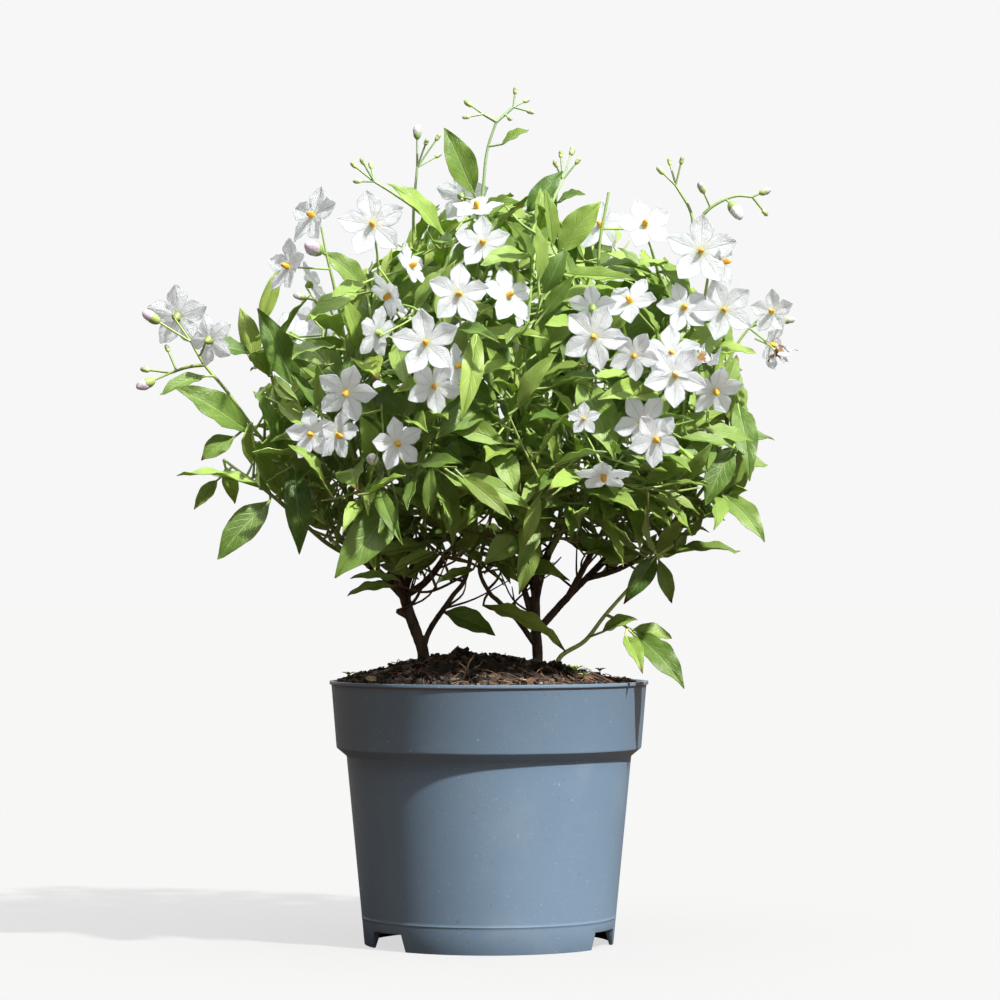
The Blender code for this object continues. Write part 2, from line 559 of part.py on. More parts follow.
def nearest_on_stems(plan, shoot, place, way):
    """The point of the shoot's stems that a stalk from place, leaving along way, comes from."""
    best, least = None, 1e9
    for line, _ in plan.stems[shoot]:
        for a, b in zip(line, line[1:]):
            steps = max(1, int((b - a).length / 3))
            for i in range(1, steps + 1):
                spot = a.lerp(b, i / steps)
                cost = (spot - place).length * (1.6 - (spot - place).normalized().dot(way))
                if cost < least:
                    best, least = spot, cost
    return best


def plan_stalk(plan, shoot, place, way, kind, size):
    """A flower stalk from the shoot's stem to a calyx or a bud, bent clear of other pieces."""
    root = nearest_on_stems(plan, shoot, place, way)
    neck = place + way * (CALYX_LENGTH if kind == "bloom" else size * 0.5)
    span = (root - neck).length
    fewest = None
    for attempt in range(TRIES):
        bend = across(root - neck, BEND_TURN * attempt) * span * BEND_STEP * attempt
        middle = neck.lerp(root, BEND_PLACE) + bend
        line = [place, neck, middle, root] if attempt else [place, neck, root]
        near_root = middle.lerp(root, max(0.1, 1 - ROOT_CLEARANCE / (root - middle).length))
        hull = tube_hull([neck, middle, near_root], [STALK_RADIUS + ROOM * 0.7] * 3)
        met = list(plan.clashes(*hull, lambda owner, kind: owner == shoot))
        if fewest is None or len(met) < len(fewest[1]):
            fewest = line, met
        if not met:
            break
    line, met = fewest
    if met:
        print("stalk", shoot, [round(v) for v in place], "meets", sorted(set(met)))
    plan.stalks.append((shoot, kind, line, size, way))
    plan.take(shoot, *tube_hull(line, [STALK_RADIUS] * len(line)), "stalk")


def plan_blooms(plan):
    for node, blooms in BLOOMS.items():
        for bloom in blooms:
            points, faces = bloom_hull(bloom, 0.6)
            met = list(plan.clashes(points, faces, lambda owner, kind: owner == node))
            if met:
                print(node, "meets", sorted(set(met)))
        for bloom in blooms:
            plan.take(node, *bloom_hull(bloom, 0.6), "bloom")
    for blooms in BLOOMS.values():
        for bloom in blooms:
            place, ahead, _, _ = bloom_frame(bloom)
            back = place - ahead * (BLOOM_THICKNESS / 2 + GAP)
            plan_stalk(plan, bloom[0], back, -ahead, "bloom", CALYX_RADIUS)


def plan_buds(plan):
    for shoot, spot, length in BUDS:
        place = Vector(spot)
        root = nearest_on_stems(plan, shoot, place, Vector((0, 0, 0)))
        plan_stalk(plan, shoot, place, (root - place).normalized(), "bud", length)


def leaf_is_clear(plan, leaf):
    shoot = leaf["shoot"]
    for _ in plan.clashes(*leaf_hull(leaf, False), lambda owner, kind: False):
        return False
    own = ("stem", "stalk", "leaf")
    for _ in plan.clashes(*leaf_hull(leaf, True), lambda owner, kind: owner == shoot and kind in own):
        return False
    return True


def add_leaf(plan, leaf):
    plan.leaves.append(leaf)
    rows, _, tip, _ = leaf_rows(leaf)
    points = [p for row in rows for p in row] + [tip]
    faces = [(i, i + 1, i + 3, i + 2) for i in range(0, len(points) - 3, 2)]
    faces.append((len(points) - 3, len(points) - 2, len(points) - 1))
    plan.take(leaf["shoot"], points, faces, "leaf")


def plan_large_leaves(plan):
    """Each large leaf is moved in depth, not across the view, until it is clear."""
    for shoot, base, tip, width, lean in LEAVES:
        for attempt in range(TRIES):
            shift = Vector((0, (attempt + 1) // 2 * 1.5 * (-1) ** attempt, 0))
            foot, end = Vector(base) + shift, Vector(tip) + shift * 1.3
            root = nearest_on_stems(plan, shoot, foot, (foot - end).normalized())
            angle = math.radians(lean + 3 * (attempt % 3))
            leaf = {
                "shoot": shoot, "root": root, "base": foot, "tip": end, "width": width,
                "up": Vector((0.15, -math.sin(angle), math.cos(angle))), "arch": LARGE_LEAF_ARCH,
                "fold": LARGE_LEAF_FOLD, "twist": 0.0, "stations": ((0.4, 1.0), (0.76, 0.66)),
                "stalked": True,
            }
            if leaf_is_clear(plan, leaf):
                add_leaf(plan, leaf)
                break
        else:
            print("no room for the large leaf at", base, "on", shoot)


def hides_a_bloom(leaf):
    """Whether the leaf stands before a bloom that is seen from the front."""
    rows, middle, tip, _ = leaf_rows(leaf)
    for place in (leaf["base"], middle, tip, *rows[-1]):
        x, z = seen_from_front(place)
        for blooms in BLOOMS.values():
            for bloom in blooms:
                middle_of_bloom = Vector(bloom[1])
                x_2, z_2 = seen_from_front(middle_of_bloom)
                if place.y < middle_of_bloom.y < 0 and math.hypot(x - x_2, z - z_2) < bloom[5] * 0.85:
                    return True
    return False


def within_crown(leaf):
    _, middle, tip, _ = leaf_rows(leaf)
    for place in (tip, middle):
        away = place - CROWN_MIDDLE
        if (away.x / CROWN_HALF.x) ** 2 + (away.y / CROWN_HALF.y) ** 2 + (
                away.z / CROWN_HALF.z) ** 2 > 1:
            return False
        if not inside_outline(*seen_from_front(place)):
            return False
    return True


def plan_leaf_at(plan, shoot, spot, along, index, seed):
    """One leaf at a spot on a stem, turned round it and shortened until it fits."""
    chance = random.Random(seed)
    outward = spot - CROWN_MIDDLE
    outward.z *= 0.5
    outward.normalize()
    length, petiole = chance.uniform(*LEAF_LENGTH), chance.uniform(*PETIOLE_LENGTH)
    droop, tilt = chance.uniform(0, LEAF_DROOP), chance.uniform(-LEAF_TILT, LEAF_TILT)
    for attempt in range(TRIES):
        ring = across(along, GOLDEN_TURN * index + RETRY_TURN * attempt)
        way = (ring + along * 0.45 + outward * 0.6 + UP * 0.1).normalized()
        size = length * (1 - RETRY_SHRINK * attempt)
        base = spot + way * petiole + UP * petiole * 0.1
        leaf = {
            "shoot": shoot, "root": spot, "base": base,
            "tip": base + way * size - UP * droop * size,
            "width": size * chance.uniform(*LEAF_SHARE),
            "up": (UP + outward * 0.55 + across(way) * tilt).normalized(), "arch": 0.05 + droop * 0.1,
            "fold": chance.uniform(*LEAF_FOLD), "twist": chance.uniform(-LEAF_TWIST, LEAF_TWIST),
            "stations": ((0.4, 1.0),), "stalked": False,
        }
        if within_crown(leaf) and not hides_a_bloom(leaf) and leaf_is_clear(plan, leaf):
            add_leaf(plan, leaf)
            return


def plan_small_leaves(plan):
    """Leaves along every stem, a golden turn apart, but not on the thin ends that bear buds."""
    for shoot, lines in plan.stems.items():
        index = 0
        for line, _ in lines:
            reach = LEAF_SPACING * 0.8
            for a, b in zip(line, line[1:]):
                length = (b - a).length
                while reach < length:
                    spot = a.lerp(b, reach / length)
                    if spot.z > LOWEST_LEAF:
                        seed = f"{shoot} {index}"
                        plan_leaf_at(plan, shoot, spot, (b - a).normalized(), index, seed)
                    index += 1
                    reach += LEAF_SPACING
                reach -= length


def make_plan():
    plan = Plan()
    plan_pot(plan)
    plan_wood(plan)
    plan_stems(plan)
    plan_blooms(plan)
    plan_buds(plan)
    plan_large_leaves(plan)
    plan_small_leaves(plan)
    return plan


# Modelling


def clear_scene():
    for obj in list(bpy.data.objects):
        bpy.data.objects.remove(obj)


def collection(name):
    made = bpy.data.collections.new(name)
    bpy.context.scene.collection.children.link(made)
    return made


def material(name, colour, roughness):
    made = bpy.data.materials.new(name)
    made.use_nodes = True
    shader = made.node_tree.nodes["Principled BSDF"]
    shader.inputs["Base Color"].default_value = (*colour, 1)
    shader.inputs["Roughness"].default_value = roughness
    shader.inputs["Metallic"].default_value = 0
    return made


def new_object(name, mesh, group, finish=None):
    obj = bpy.data.objects.new(name, mesh)
    group.objects.link(obj)
    if finish:
        obj.data.materials.append(finish)
    return obj


def smoothed(obj):
    obj.data.shade_smooth()
    obj.data.set_sharp_from_angle(angle=SHARP_ANGLE)
    return obj


def object_of(name, bm, group, finish=None):
    mesh = bpy.data.meshes.new(name)
    bm.to_mesh(mesh)
    bm.free()
    return new_object(name, mesh, group, finish)


def tube_profiles(group):
    """Closed outlines that the curves are swept with: three, four, six and eight sides."""
    made = {}
    for sides in (3, 4, 6, 8):
        curve = bpy.data.curves.new(f"outline_{sides}", "CURVE")
        spline = curve.splines.new("POLY")
        spline.points.add(sides - 1)
        spline.use_cyclic_u = True
        for k, knot in enumerate(spline.points):
            angle = -math.tau * k / sides
            knot.co = (math.cos(angle) * MM, math.sin(angle) * MM, 0, 1)
        guide = bpy.data.objects.new(f"outline_{sides}", curve)
        guide.hide_render = True
        guide.display_type = "WIRE"
        group.objects.link(guide)
        made[sides] = guide
    return made


def tube(name, line, radii, profile, group):
    """A tube along a line of points, as a curve."""
    curve = bpy.data.curves.new(name, "CURVE")
    curve.dimensions = "3D"
    curve.bevel_mode = "OBJECT"
    curve.bevel_object = profile
    curve.use_fill_caps = True
    spline = curve.splines.new("POLY")
    spline.points.add(len(line) - 1)
    for knot, place, radius in zip(spline.points, line, radii):
        knot.co = (*(place * MM), 1)
        knot.radius = radius
    made = bpy.data.objects.new(name, curve)
    group.objects.link(made)
    return made


def meshes_from_pieces(pieces):
    """Turns each curve or modified mesh of a collection into a plain closed mesh."""
    graph = bpy.context.evaluated_depsgraph_get()
    for piece in list(pieces.objects):
        mesh = bpy.data.meshes.new_from_object(piece.evaluated_get(graph))
        bm = bmesh.new()
        bm.from_mesh(mesh)
        bmesh.ops.remove_doubles(bm, verts=bm.verts, dist=0.00001)
        bmesh.ops.recalc_face_normals(bm, faces=bm.faces)
        bm.to_mesh(mesh)
        bm.free()
        new_object(piece.name + "_solid", mesh, pieces).matrix_world = piece.matrix_world
        bpy.data.objects.remove(piece)


def fuse(name, pieces, group, finish):
    """One closed body from a collection of pieces that run into each other."""
    meshes_from_pieces(pieces)
    first = pieces.objects[0]
    body = new_object(name, first.data, group)
    bpy.data.objects.remove(first)
    if pieces.objects:
        union = body.modifiers.new("union", "BOOLEAN")
        union.operation = "UNION"
        union.operand_type = "COLLECTION"
        union.collection = pieces
        # The exact solver leaves some leaf roots joined along an edge only.
        union.solver = "MANIFOLD"
        graph = bpy.context.evaluated_depsgraph_get()
        body.data = bpy.data.meshes.new_from_object(body.evaluated_get(graph))
        body.modifiers.clear()
    body.data.materials.clear()
    body.data.materials.append(finish)
    for piece in list(pieces.objects):
        bpy.data.objects.remove(piece)
    bpy.data.collections.remove(pieces)
    return smoothed(body)


def turned(name, profile, group, finish):
    """A profile in the XZ plane, from the axis out and back to it, turned about Z."""
    bm = bmesh.new()
    verts = [bm.verts.new((x * MM, 0, z * MM)) for x, z in profile]
    for a, b in zip(verts, verts[1:]):
        bm.edges.new((a, b))
    outline = object_of(name + "_outline", bm, group)
    screw = outline.modifiers.new("turn", "SCREW")
    screw.steps = screw.render_steps = POT_STEPS
    screw.use_merge_vertices = True
    screw.merge_threshold = 0.0001
    graph = bpy.context.evaluated_depsgraph_get()
    mesh = bpy.data.meshes.new_from_object(outline.evaluated_get(graph))
    bpy.data.objects.remove(outline)
    return smoothed(new_object(name, mesh, group, finish))


def cut_with(body, cutter):
    cutter.hide_render = True
    cutter.display_type = "WIRE"
    cut = body.modifiers.new(cutter.name, "BOOLEAN")
    cut.operation = "DIFFERENCE"
    cut.object = cutter


def inner_wall(z):
    """The pot's inner radius at a height."""
    knots = ((FLOOR_RAISE + POT_WALL, FLOOR_OUTER), (STEP_BOTTOM - 0.4, WALL_TOP_RADIUS - POT_WALL),
             (BAND_BOTTOM, BAND_BOTTOM_RADIUS - POT_WALL), (POT_HEIGHT, LIP_RADIUS - 2.0))
    for (z1, r1), (z2, r2) in zip(knots, knots[1:]):
        if z <= z2:
            return r1 + (r2 - r1) * (z - z1) / (z2 - z1)
    return knots[-1][1]


def make_pot(group, cutters, finish):
    floor_top = FLOOR_RAISE + POT_WALL
    profile = (
        (0, POT_WALL), (PAD_RADIUS - 1, POT_WALL), (PAD_RADIUS + 3.2, floor_top),
        (FLOOR_OUTER, floor_top), (inner_wall(STEP_BOTTOM - 0.4), STEP_BOTTOM - 0.4),
        (inner_wall(BAND_BOTTOM), BAND_BOTTOM), (inner_wall(POT_HEIGHT), POT_HEIGHT),
        (LIP_RADIUS, POT_HEIGHT), (LIP_RADIUS, POT_HEIGHT - LIP_THICKNESS),
        (BAND_TOP_RADIUS, POT_HEIGHT - LIP_THICKNESS - 0.4), (BAND_BOTTOM_RADIUS, BAND_BOTTOM),
        (BAND_BOTTOM_RADIUS - 1, BAND_BOTTOM - 1.4), (WALL_TOP_RADIUS, STEP_BOTTOM),
        (FOOT_RADIUS, 0), (FOOT_RADIUS - POT_WALL, 0), (FLOOR_OUTER - 0.6, FLOOR_RAISE),
        (PAD_RADIUS + 4, FLOOR_RAISE), (PAD_RADIUS, 0), (0, 0),
    )
    pot = turned("pot", profile, group, finish)
    for index, degrees in enumerate(NOTCH_ANGLES):
        bm = bmesh.new()
        block = bmesh.ops.create_cube(bm, size=1)["verts"]
        size = Vector((NOTCH_DEPTH, NOTCH_WIDTH, NOTCH_HEIGHT * 2)) * MM
        bmesh.ops.scale(bm, vec=size, verts=block)
        top = [vert for vert in block if vert.co.z > 0]
        bmesh.ops.scale(bm, vec=(1, NOTCH_TOP_SHARE, 1), verts=top)
        cutter = object_of(f"notch_{index + 1}", bm, cutters)
        angle = math.radians(degrees)
        cutter.location = (math.cos(angle) * NOTCH_RADIUS * MM, math.sin(angle) * NOTCH_RADIUS * MM, 0)
        cutter.rotation_euler = (0, 0, angle)
        cut_with(pot, cutter)
    return pot


def make_soil(group, cutters, finish):
    """The potting mix, down to the raised floor, with a plain hole for each stem."""
    floor = FLOOR_RAISE + POT_WALL + GAP
    sides = ((SOIL_RADIUS, SOIL_EDGE), (inner_wall(BAND_BOTTOM) - GAP - 0.2, BAND_BOTTOM),
             (inner_wall(STEP_BOTTOM - 0.4) - GAP, STEP_BOTTOM - 0.6), (FLOOR_OUTER - GAP, floor))
    profile = [(0, SOIL_EDGE)] + [(radius, SOIL_EDGE) for radius in SOIL_RINGS]
    soil = turned("soil", profile + list(sides) + [(0, floor)], group, finish)
    for vert in soil.data.vertices:
        if vert.co.z > (BAND_BOTTOM + 1) * MM:
            vert.co.z = soil_height(vert.co.x / MM, vert.co.y / MM) * MM
    feet = [branches["trunk"][0] for branches in WOOD.values()]
    feet.append((*SHOOTS["shoot_sucker"][2][0][0], STEM_RADIUS))
    for index, (x, y, _, radius) in enumerate(feet):
        bm = bmesh.new()
        bmesh.ops.create_cone(bm, cap_ends=True, segments=8, radius1=(radius + HOLE_ROOM) * MM,
                              radius2=(radius + HOLE_ROOM) * MM, depth=HOLE_LENGTH * MM)
        cutter = object_of(f"stem_hole_{index + 1}", bm, cutters)
        cutter.location = (x * MM, y * MM, (HOLE_BOTTOM + HOLE_LENGTH / 2) * MM)
        cut_with(soil, cutter)
    return soil


def make_wood(tree, profiles, group, finish):
    pieces = collection(tree + "_pieces")
    for branch, knots in WOOD[tree].items():
        line, radii = [Vector(knot[:3]) for knot in knots], [knot[3] for knot in knots]
        sides = 8 if branch == "trunk" else 6 if radii[0] > 2.1 else 4
        tube(branch, line, radii, profiles[sides], pieces)
    return fuse(tree, pieces, group, finish)


def extrude_row(bm, row, places):
    """Extrudes the edge between two corners of a strip, and moves its new ends to their places."""
    made = bmesh.ops.extrude_edge_only(bm, edges=[bm.edges.get(row)])["geom"]
    new = {item for item in made if isinstance(item, bmesh.types.BMVert)}
    ahead = [next(e.other_vert(end) for e in end.link_edges if e.other_vert(end) in new) for end in row]
    for vert, place in zip(ahead, places):
        vert.co = place * MM
    return ahead


def thicken(obj, thickness):
    solid = obj.modifiers.new("thickness", "SOLIDIFY")
    solid.thickness = thickness * MM
    solid.offset = 0


def extrude_to_point(bm, row, place):
    ahead = extrude_row(bm, row, (place, place))
    bmesh.ops.pointmerge(bm, verts=ahead, merge_co=place * MM)


def make_leaf(leaf, group):
    """A strip extruded from its widest row to the tip and to the root, its midrib sunk there."""
    (root, base, *blade), middle, tip, _ = leaf_rows(leaf)
    bm = bmesh.new()
    widest = row = [bm.verts.new(place * MM) for place in blade[0]]
    midrib = bm.edges.new(row)
    for places in blade[1:]:
        row = extrude_row(bm, row, places)
    extrude_to_point(bm, row, tip)
    if leaf["stalked"]:
        extrude_row(bm, extrude_row(bm, widest, base), root)
    else:
        extrude_to_point(bm, widest, leaf["root"])
    for item in bmesh.ops.subdivide_edges(bm, edges=[midrib], cuts=1)["geom_inner"]:
        if isinstance(item, bmesh.types.BMVert):
            item.co = middle * MM
    bmesh.ops.triangulate(bm, faces=bm.faces)
    bmesh.ops.recalc_face_normals(bm, faces=bm.faces)
    thicken(object_of("leaf", bm, group), LEAF_THICKNESS)


def make_shoot(shoot, plan, profiles, group, finish):
    """Stems, leaves, flower stalks with their calyces, and buds, all one body."""
    pieces = collection(shoot + "_pieces")
    for line, radii in plan.stems[shoot]:
        tube("stem", line, radii, profiles[4], pieces)
    for owner, kind, line, size, way in plan.stalks:
        if owner != shoot:
            continue
        if kind == "bloom":
            tube("stalk", line, [size] + [STALK_RADIUS] * (len(line) - 1), profiles[3], pieces)
            continue
        swell = ((0.5, 0.14), (0.0, 0.38))
        head = [line[0] - way * size * reach for reach, _ in swell]
        radii = [size * share for _, share in swell] + [STALK_RADIUS] * (len(line) - 1)
        tube("bud", head + line[1:], radii, profiles[4], pieces)
    for leaf in plan.leaves:
        if leaf["shoot"] == shoot:
            make_leaf(leaf, pieces)
    return fuse(shoot, pieces, group, finish)


def make_corolla(bloom, group):
    """A five-cornered middle whose edges are extruded twice, to the shoulders and to the tip."""
    bm = bmesh.new()
    petals = [petal_points(bloom, k) for k in range(5)]
    middle = [bm.verts.new(notch * MM) for notch, _, _, _ in petals]
    bm.faces.new(middle)
    for k, (_, left, right, tip) in enumerate(petals):
        row = extrude_row(bm, (middle[k], middle[(k + 1) % 5]), (left, right))
        extrude_to_point(bm, row, tip)
    bmesh.ops.triangulate(bm, faces=[face for face in bm.faces if len(face.verts) == 4])
    thicken(object_of("corolla", bm, group), BLOOM_THICKNESS)


def make_cone(bloom, group):
    """The anther cone, its foot sunk in the corolla."""
    place, ahead, _, _ = bloom_frame(bloom)
    share = min(1, bloom[5] / 14)
    bm = bmesh.new()
    bmesh.ops.create_cone(bm, cap_ends=True, segments=5, radius1=CONE_RADIUS * share * MM,
                          radius2=CONE_RADIUS * share * 0.7 * MM, depth=CONE_LENGTH * share * MM)
    cone = object_of("cone", bm, group)
    cone.location = (place + ahead * CONE_LENGTH * share / 2) * MM
    cone.rotation_mode = "QUATERNION"
    cone.rotation_quaternion = ahead.to_track_quat("Z", "Y")


def make_bloom(node, group, finish):
    pieces = collection(node + "_pieces")
    for bloom in BLOOMS[node]:
        make_corolla(bloom, pieces)
        make_cone(bloom, pieces)
    return fuse(node, pieces, group, finish)


def main():
    clear_scene()
    group = collection("potato_vine")
    cutters = collection("cutters")
    guides = collection("guides")
    profiles = tube_profiles(guides)
    plan = make_plan()
    make_pot(group, cutters, material("pot", (0.16, 0.26, 0.37), 0.5))
    make_soil(group, cutters, material("soil", (0.04, 0.025, 0.015), 0.95))
    for tree in WOOD:
        make_wood(tree, profiles, group, material(tree, (0.09, 0.05, 0.03), 0.85))
    for shoot in SHOOTS:
        make_shoot(shoot, plan, profiles, group, material(shoot, (0.12, 0.26, 0.05), 0.5))
    for node in BLOOMS:
        make_bloom(node, group, material(node, (0.85, 0.86, 0.84), 0.6))
    print(len(plan.leaves), "leaves,", len(plan.stalks), "stalks,", len(group.objects), "nodes")


if __name__ == "__main__":
    main()
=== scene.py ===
import math
import random

import bpy
import numpy as np
from mathutils import Matrix, Vector, noise
from mathutils.bvhtree import BVHTree
from mathutils.geometry import intersect_point_line


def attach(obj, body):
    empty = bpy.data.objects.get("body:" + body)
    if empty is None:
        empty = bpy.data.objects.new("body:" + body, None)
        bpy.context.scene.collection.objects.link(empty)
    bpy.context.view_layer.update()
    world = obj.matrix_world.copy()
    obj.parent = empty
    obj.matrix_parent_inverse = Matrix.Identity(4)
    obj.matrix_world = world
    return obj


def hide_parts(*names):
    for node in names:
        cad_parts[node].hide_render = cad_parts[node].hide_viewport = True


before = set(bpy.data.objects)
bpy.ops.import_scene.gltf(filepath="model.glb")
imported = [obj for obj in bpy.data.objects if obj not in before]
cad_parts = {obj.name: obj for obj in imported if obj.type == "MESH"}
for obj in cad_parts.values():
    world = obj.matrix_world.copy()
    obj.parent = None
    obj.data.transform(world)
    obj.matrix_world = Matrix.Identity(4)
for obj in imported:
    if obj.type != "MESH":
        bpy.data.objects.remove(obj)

# The plan is in millimetres, with the pot's foot at z = 0 and the front towards -Y.
mm = 0.001
gap = 0.3
skyward = Vector((0, 0, 1))
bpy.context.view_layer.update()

potSizes = {
    "height": 139.6,
    "lipRadius": 85.0,
    "lipThickness": 1.7,
    "bandTopRadius": 84.0,
    "bandBottomRadius": 81.3,
    "bandBottom": 104.8,
    "stepBottom": 99.7,
    "wallTopRadius": 75.9,
    "footRadius": 66.3,
    "wall": 1.6,
    "floorRaise": 7.0,
    "padRadius": 38.2,
    "floorOuter": 63.4,
    "notchAngles": (-143.5, -23.0, 97.5),
    "notchHeight": 9.0,
    "notchWidth": 34.0,
    "notchDepth": 17.0,
    "notchRadius": 62.0,
    "notchTopShare": 0.74,
}

soilSizes = {
    "edge": 137.0,
    "radius": 82.3,
    "moundHeight": 15.5,
    "moundX": -12.0,
    "moundSpread": 66.0,
    "lump": 1.3,
    "rings": (14.0, 30.0, 46.0, 60.0, 72.0),
}

growth = {
    "stemRadius": 1.35,
    "stemTipRadius": 0.95,
    "stalkRadius": 0.62,
    "calyxRadius": 1.9,
    "calyxLength": 3.2,
    "leafSpacing": 31.0,
    "lowestLeaf": 172.0,
    "petioleWidth": 1.5,
    "rootWidth": 0.9,
    "stalkStart": 3.2,
    "bloomThickness": 0.8,
    "coneLength": 5.5,
    "room": 1.1,
    "tries": 26,
    "goldenTurn": math.radians(137.5),
    "retryTurn": 0.9,
    "retryShrink": 0.016,
    "leafLength": (34, 50),
    "leafShare": (0.32, 0.4),
    "petioleLength": (6, 10),
    "leafDroop": 0.45,
    "leafTilt": 0.3,
    "leafFold": (0.15, 0.4),
    "leafTwist": 0.06,
    "largeLeafFold": 0.28,
    "largeLeafArch": 0.06,
    "bendTurn": 2.4,
    "bendStep": 0.035,
    "bendPlace": 0.45,
    "rootClearance": 3.0,
    "flatten": 0.5,
    "along": 0.45,
    "outward": 0.6,
    "rise": 0.1,
    "faceOutward": 0.55,
    "bloomShare": 0.85,
    "smallStations": ((0.4, 1.0),),  # how far along the blade, and its share of the width there
    "largeStations": ((0.4, 1.0), (0.76, 0.66)),
}

crown = {
    "middle": Vector((-4, 0, 285)),
    "half": Vector((172, 146, 150)),
    "eye": Vector((5.9, -1900, 191.6)),
    "outline": (
        (-131, 268), (-125, 289), (-130, 316), (-108, 330), (-96, 350), (-74, 356), (-53, 372),
        (-34, 392), (-14, 402), (8, 398), (24, 405), (42, 404), (56, 392), (72, 378), (92, 366),
        (113, 348), (132, 330), (136, 290), (145, 268), (142, 243), (124, 222), (102, 208), (81, 200),
        (59, 194), (17, 190), (-21, 192), (-48, 194), (-74, 202), (-88, 218), (-108, 232), (-126, 250),
),
}

# Wood: each branch as (x, y, z, radius) from its foot to its end. The first ones stand in the soil.
woodBranches = {
    "wood_left": {
        "trunk": ((-35, 0, 132.5, 3.3), (-35, 0, 153, 3.3), (-38, 1, 163, 3.1),
                  (-42, 1, 174, 3.0), (-46, 0, 187, 2.9)),
        "stub": ((-42, 1, 173, 1.8), (-49, -2, 177, 1.7)),
        "far_left": ((-46, 0, 185, 2.4), (-58, -4, 197, 2.0), (-70, -8, 206, 1.8)),
        "low_left": ((-57, -4, 196, 1.7), (-64, -18, 201, 1.6)),
        "front_left": ((-46, 0, 184, 2.1), (-51, -12, 199, 1.9), (-56, -21, 212, 1.7)),
        "left_high": ((-46, 0, 185, 2.2), (-54, 3, 203, 1.9), (-60, 2, 216, 1.7)),
        "top_left": ((-46, 0, 185, 2.2), (-45, -4, 203, 1.9), (-42, -10, 219, 1.7)),
        "front": ((-46, 0, 184, 2.2), (-33, -5, 193, 1.9), (-21, -13, 209, 1.7)),
        "back_left": ((-46, 0, 185, 2.1), (-50, 14, 200, 1.9), (-56, 28, 214, 1.7)),
        "back_middle": ((-46, 0, 184, 2.1), (-41, 12, 201, 1.9), (-36, 25, 218, 1.7)),
        "middle": ((-36, 1, 152, 1.7), (-32, 3, 166, 1.6), (-22, 2, 181, 1.5)),
    },
    "wood_right": {
        "trunk": ((26, 4, 132.5, 2.9), (26, 4, 154, 2.9), (25, 3, 168, 2.7), (25, 3, 184, 2.4)),
        "top": ((25, 3, 165, 1.9), (20, 4, 184, 1.8), (14, 3, 204, 1.6)),
        "centre": ((25, 3, 182, 2.0), (26, 1, 198, 1.8), (26, -4, 212, 1.6)),
        "cut": ((26, 1, 196, 1.7), (34, -7, 214, 1.6)),
        "front_right": ((25, 3, 181, 1.9), (28, -9, 195, 1.7), (32, -22, 207, 1.6)),
        "back_centre": ((25, 3, 182, 1.9), (22, 14, 198, 1.7), (19, 26, 213, 1.6)),
        "right_outer": ((25, 3, 165, 2.3), (41, 3, 183, 2.0), (53, 2, 195, 1.8), (67, -3, 208, 1.6)),
        "right_front": ((41, 3, 182, 1.8), (49, -8, 197, 1.7), (56, -19, 211, 1.6)),
        "right_top": ((52, 2, 194, 1.7), (63, 5, 206, 1.6), (72, 6, 219, 1.5)),
        "far_right": ((52, 2, 194, 1.7), (66, -9, 198, 1.6), (77, -15, 203, 1.5)),
        "back_right": ((41, 3, 182, 1.8), (50, 14, 198, 1.7), (58, 25, 213, 1.6)),
        "low_front": ((25, 3, 158, 1.6), (16, 1, 171, 1.5), (8, -1, 179, 1.4)),
    },
}

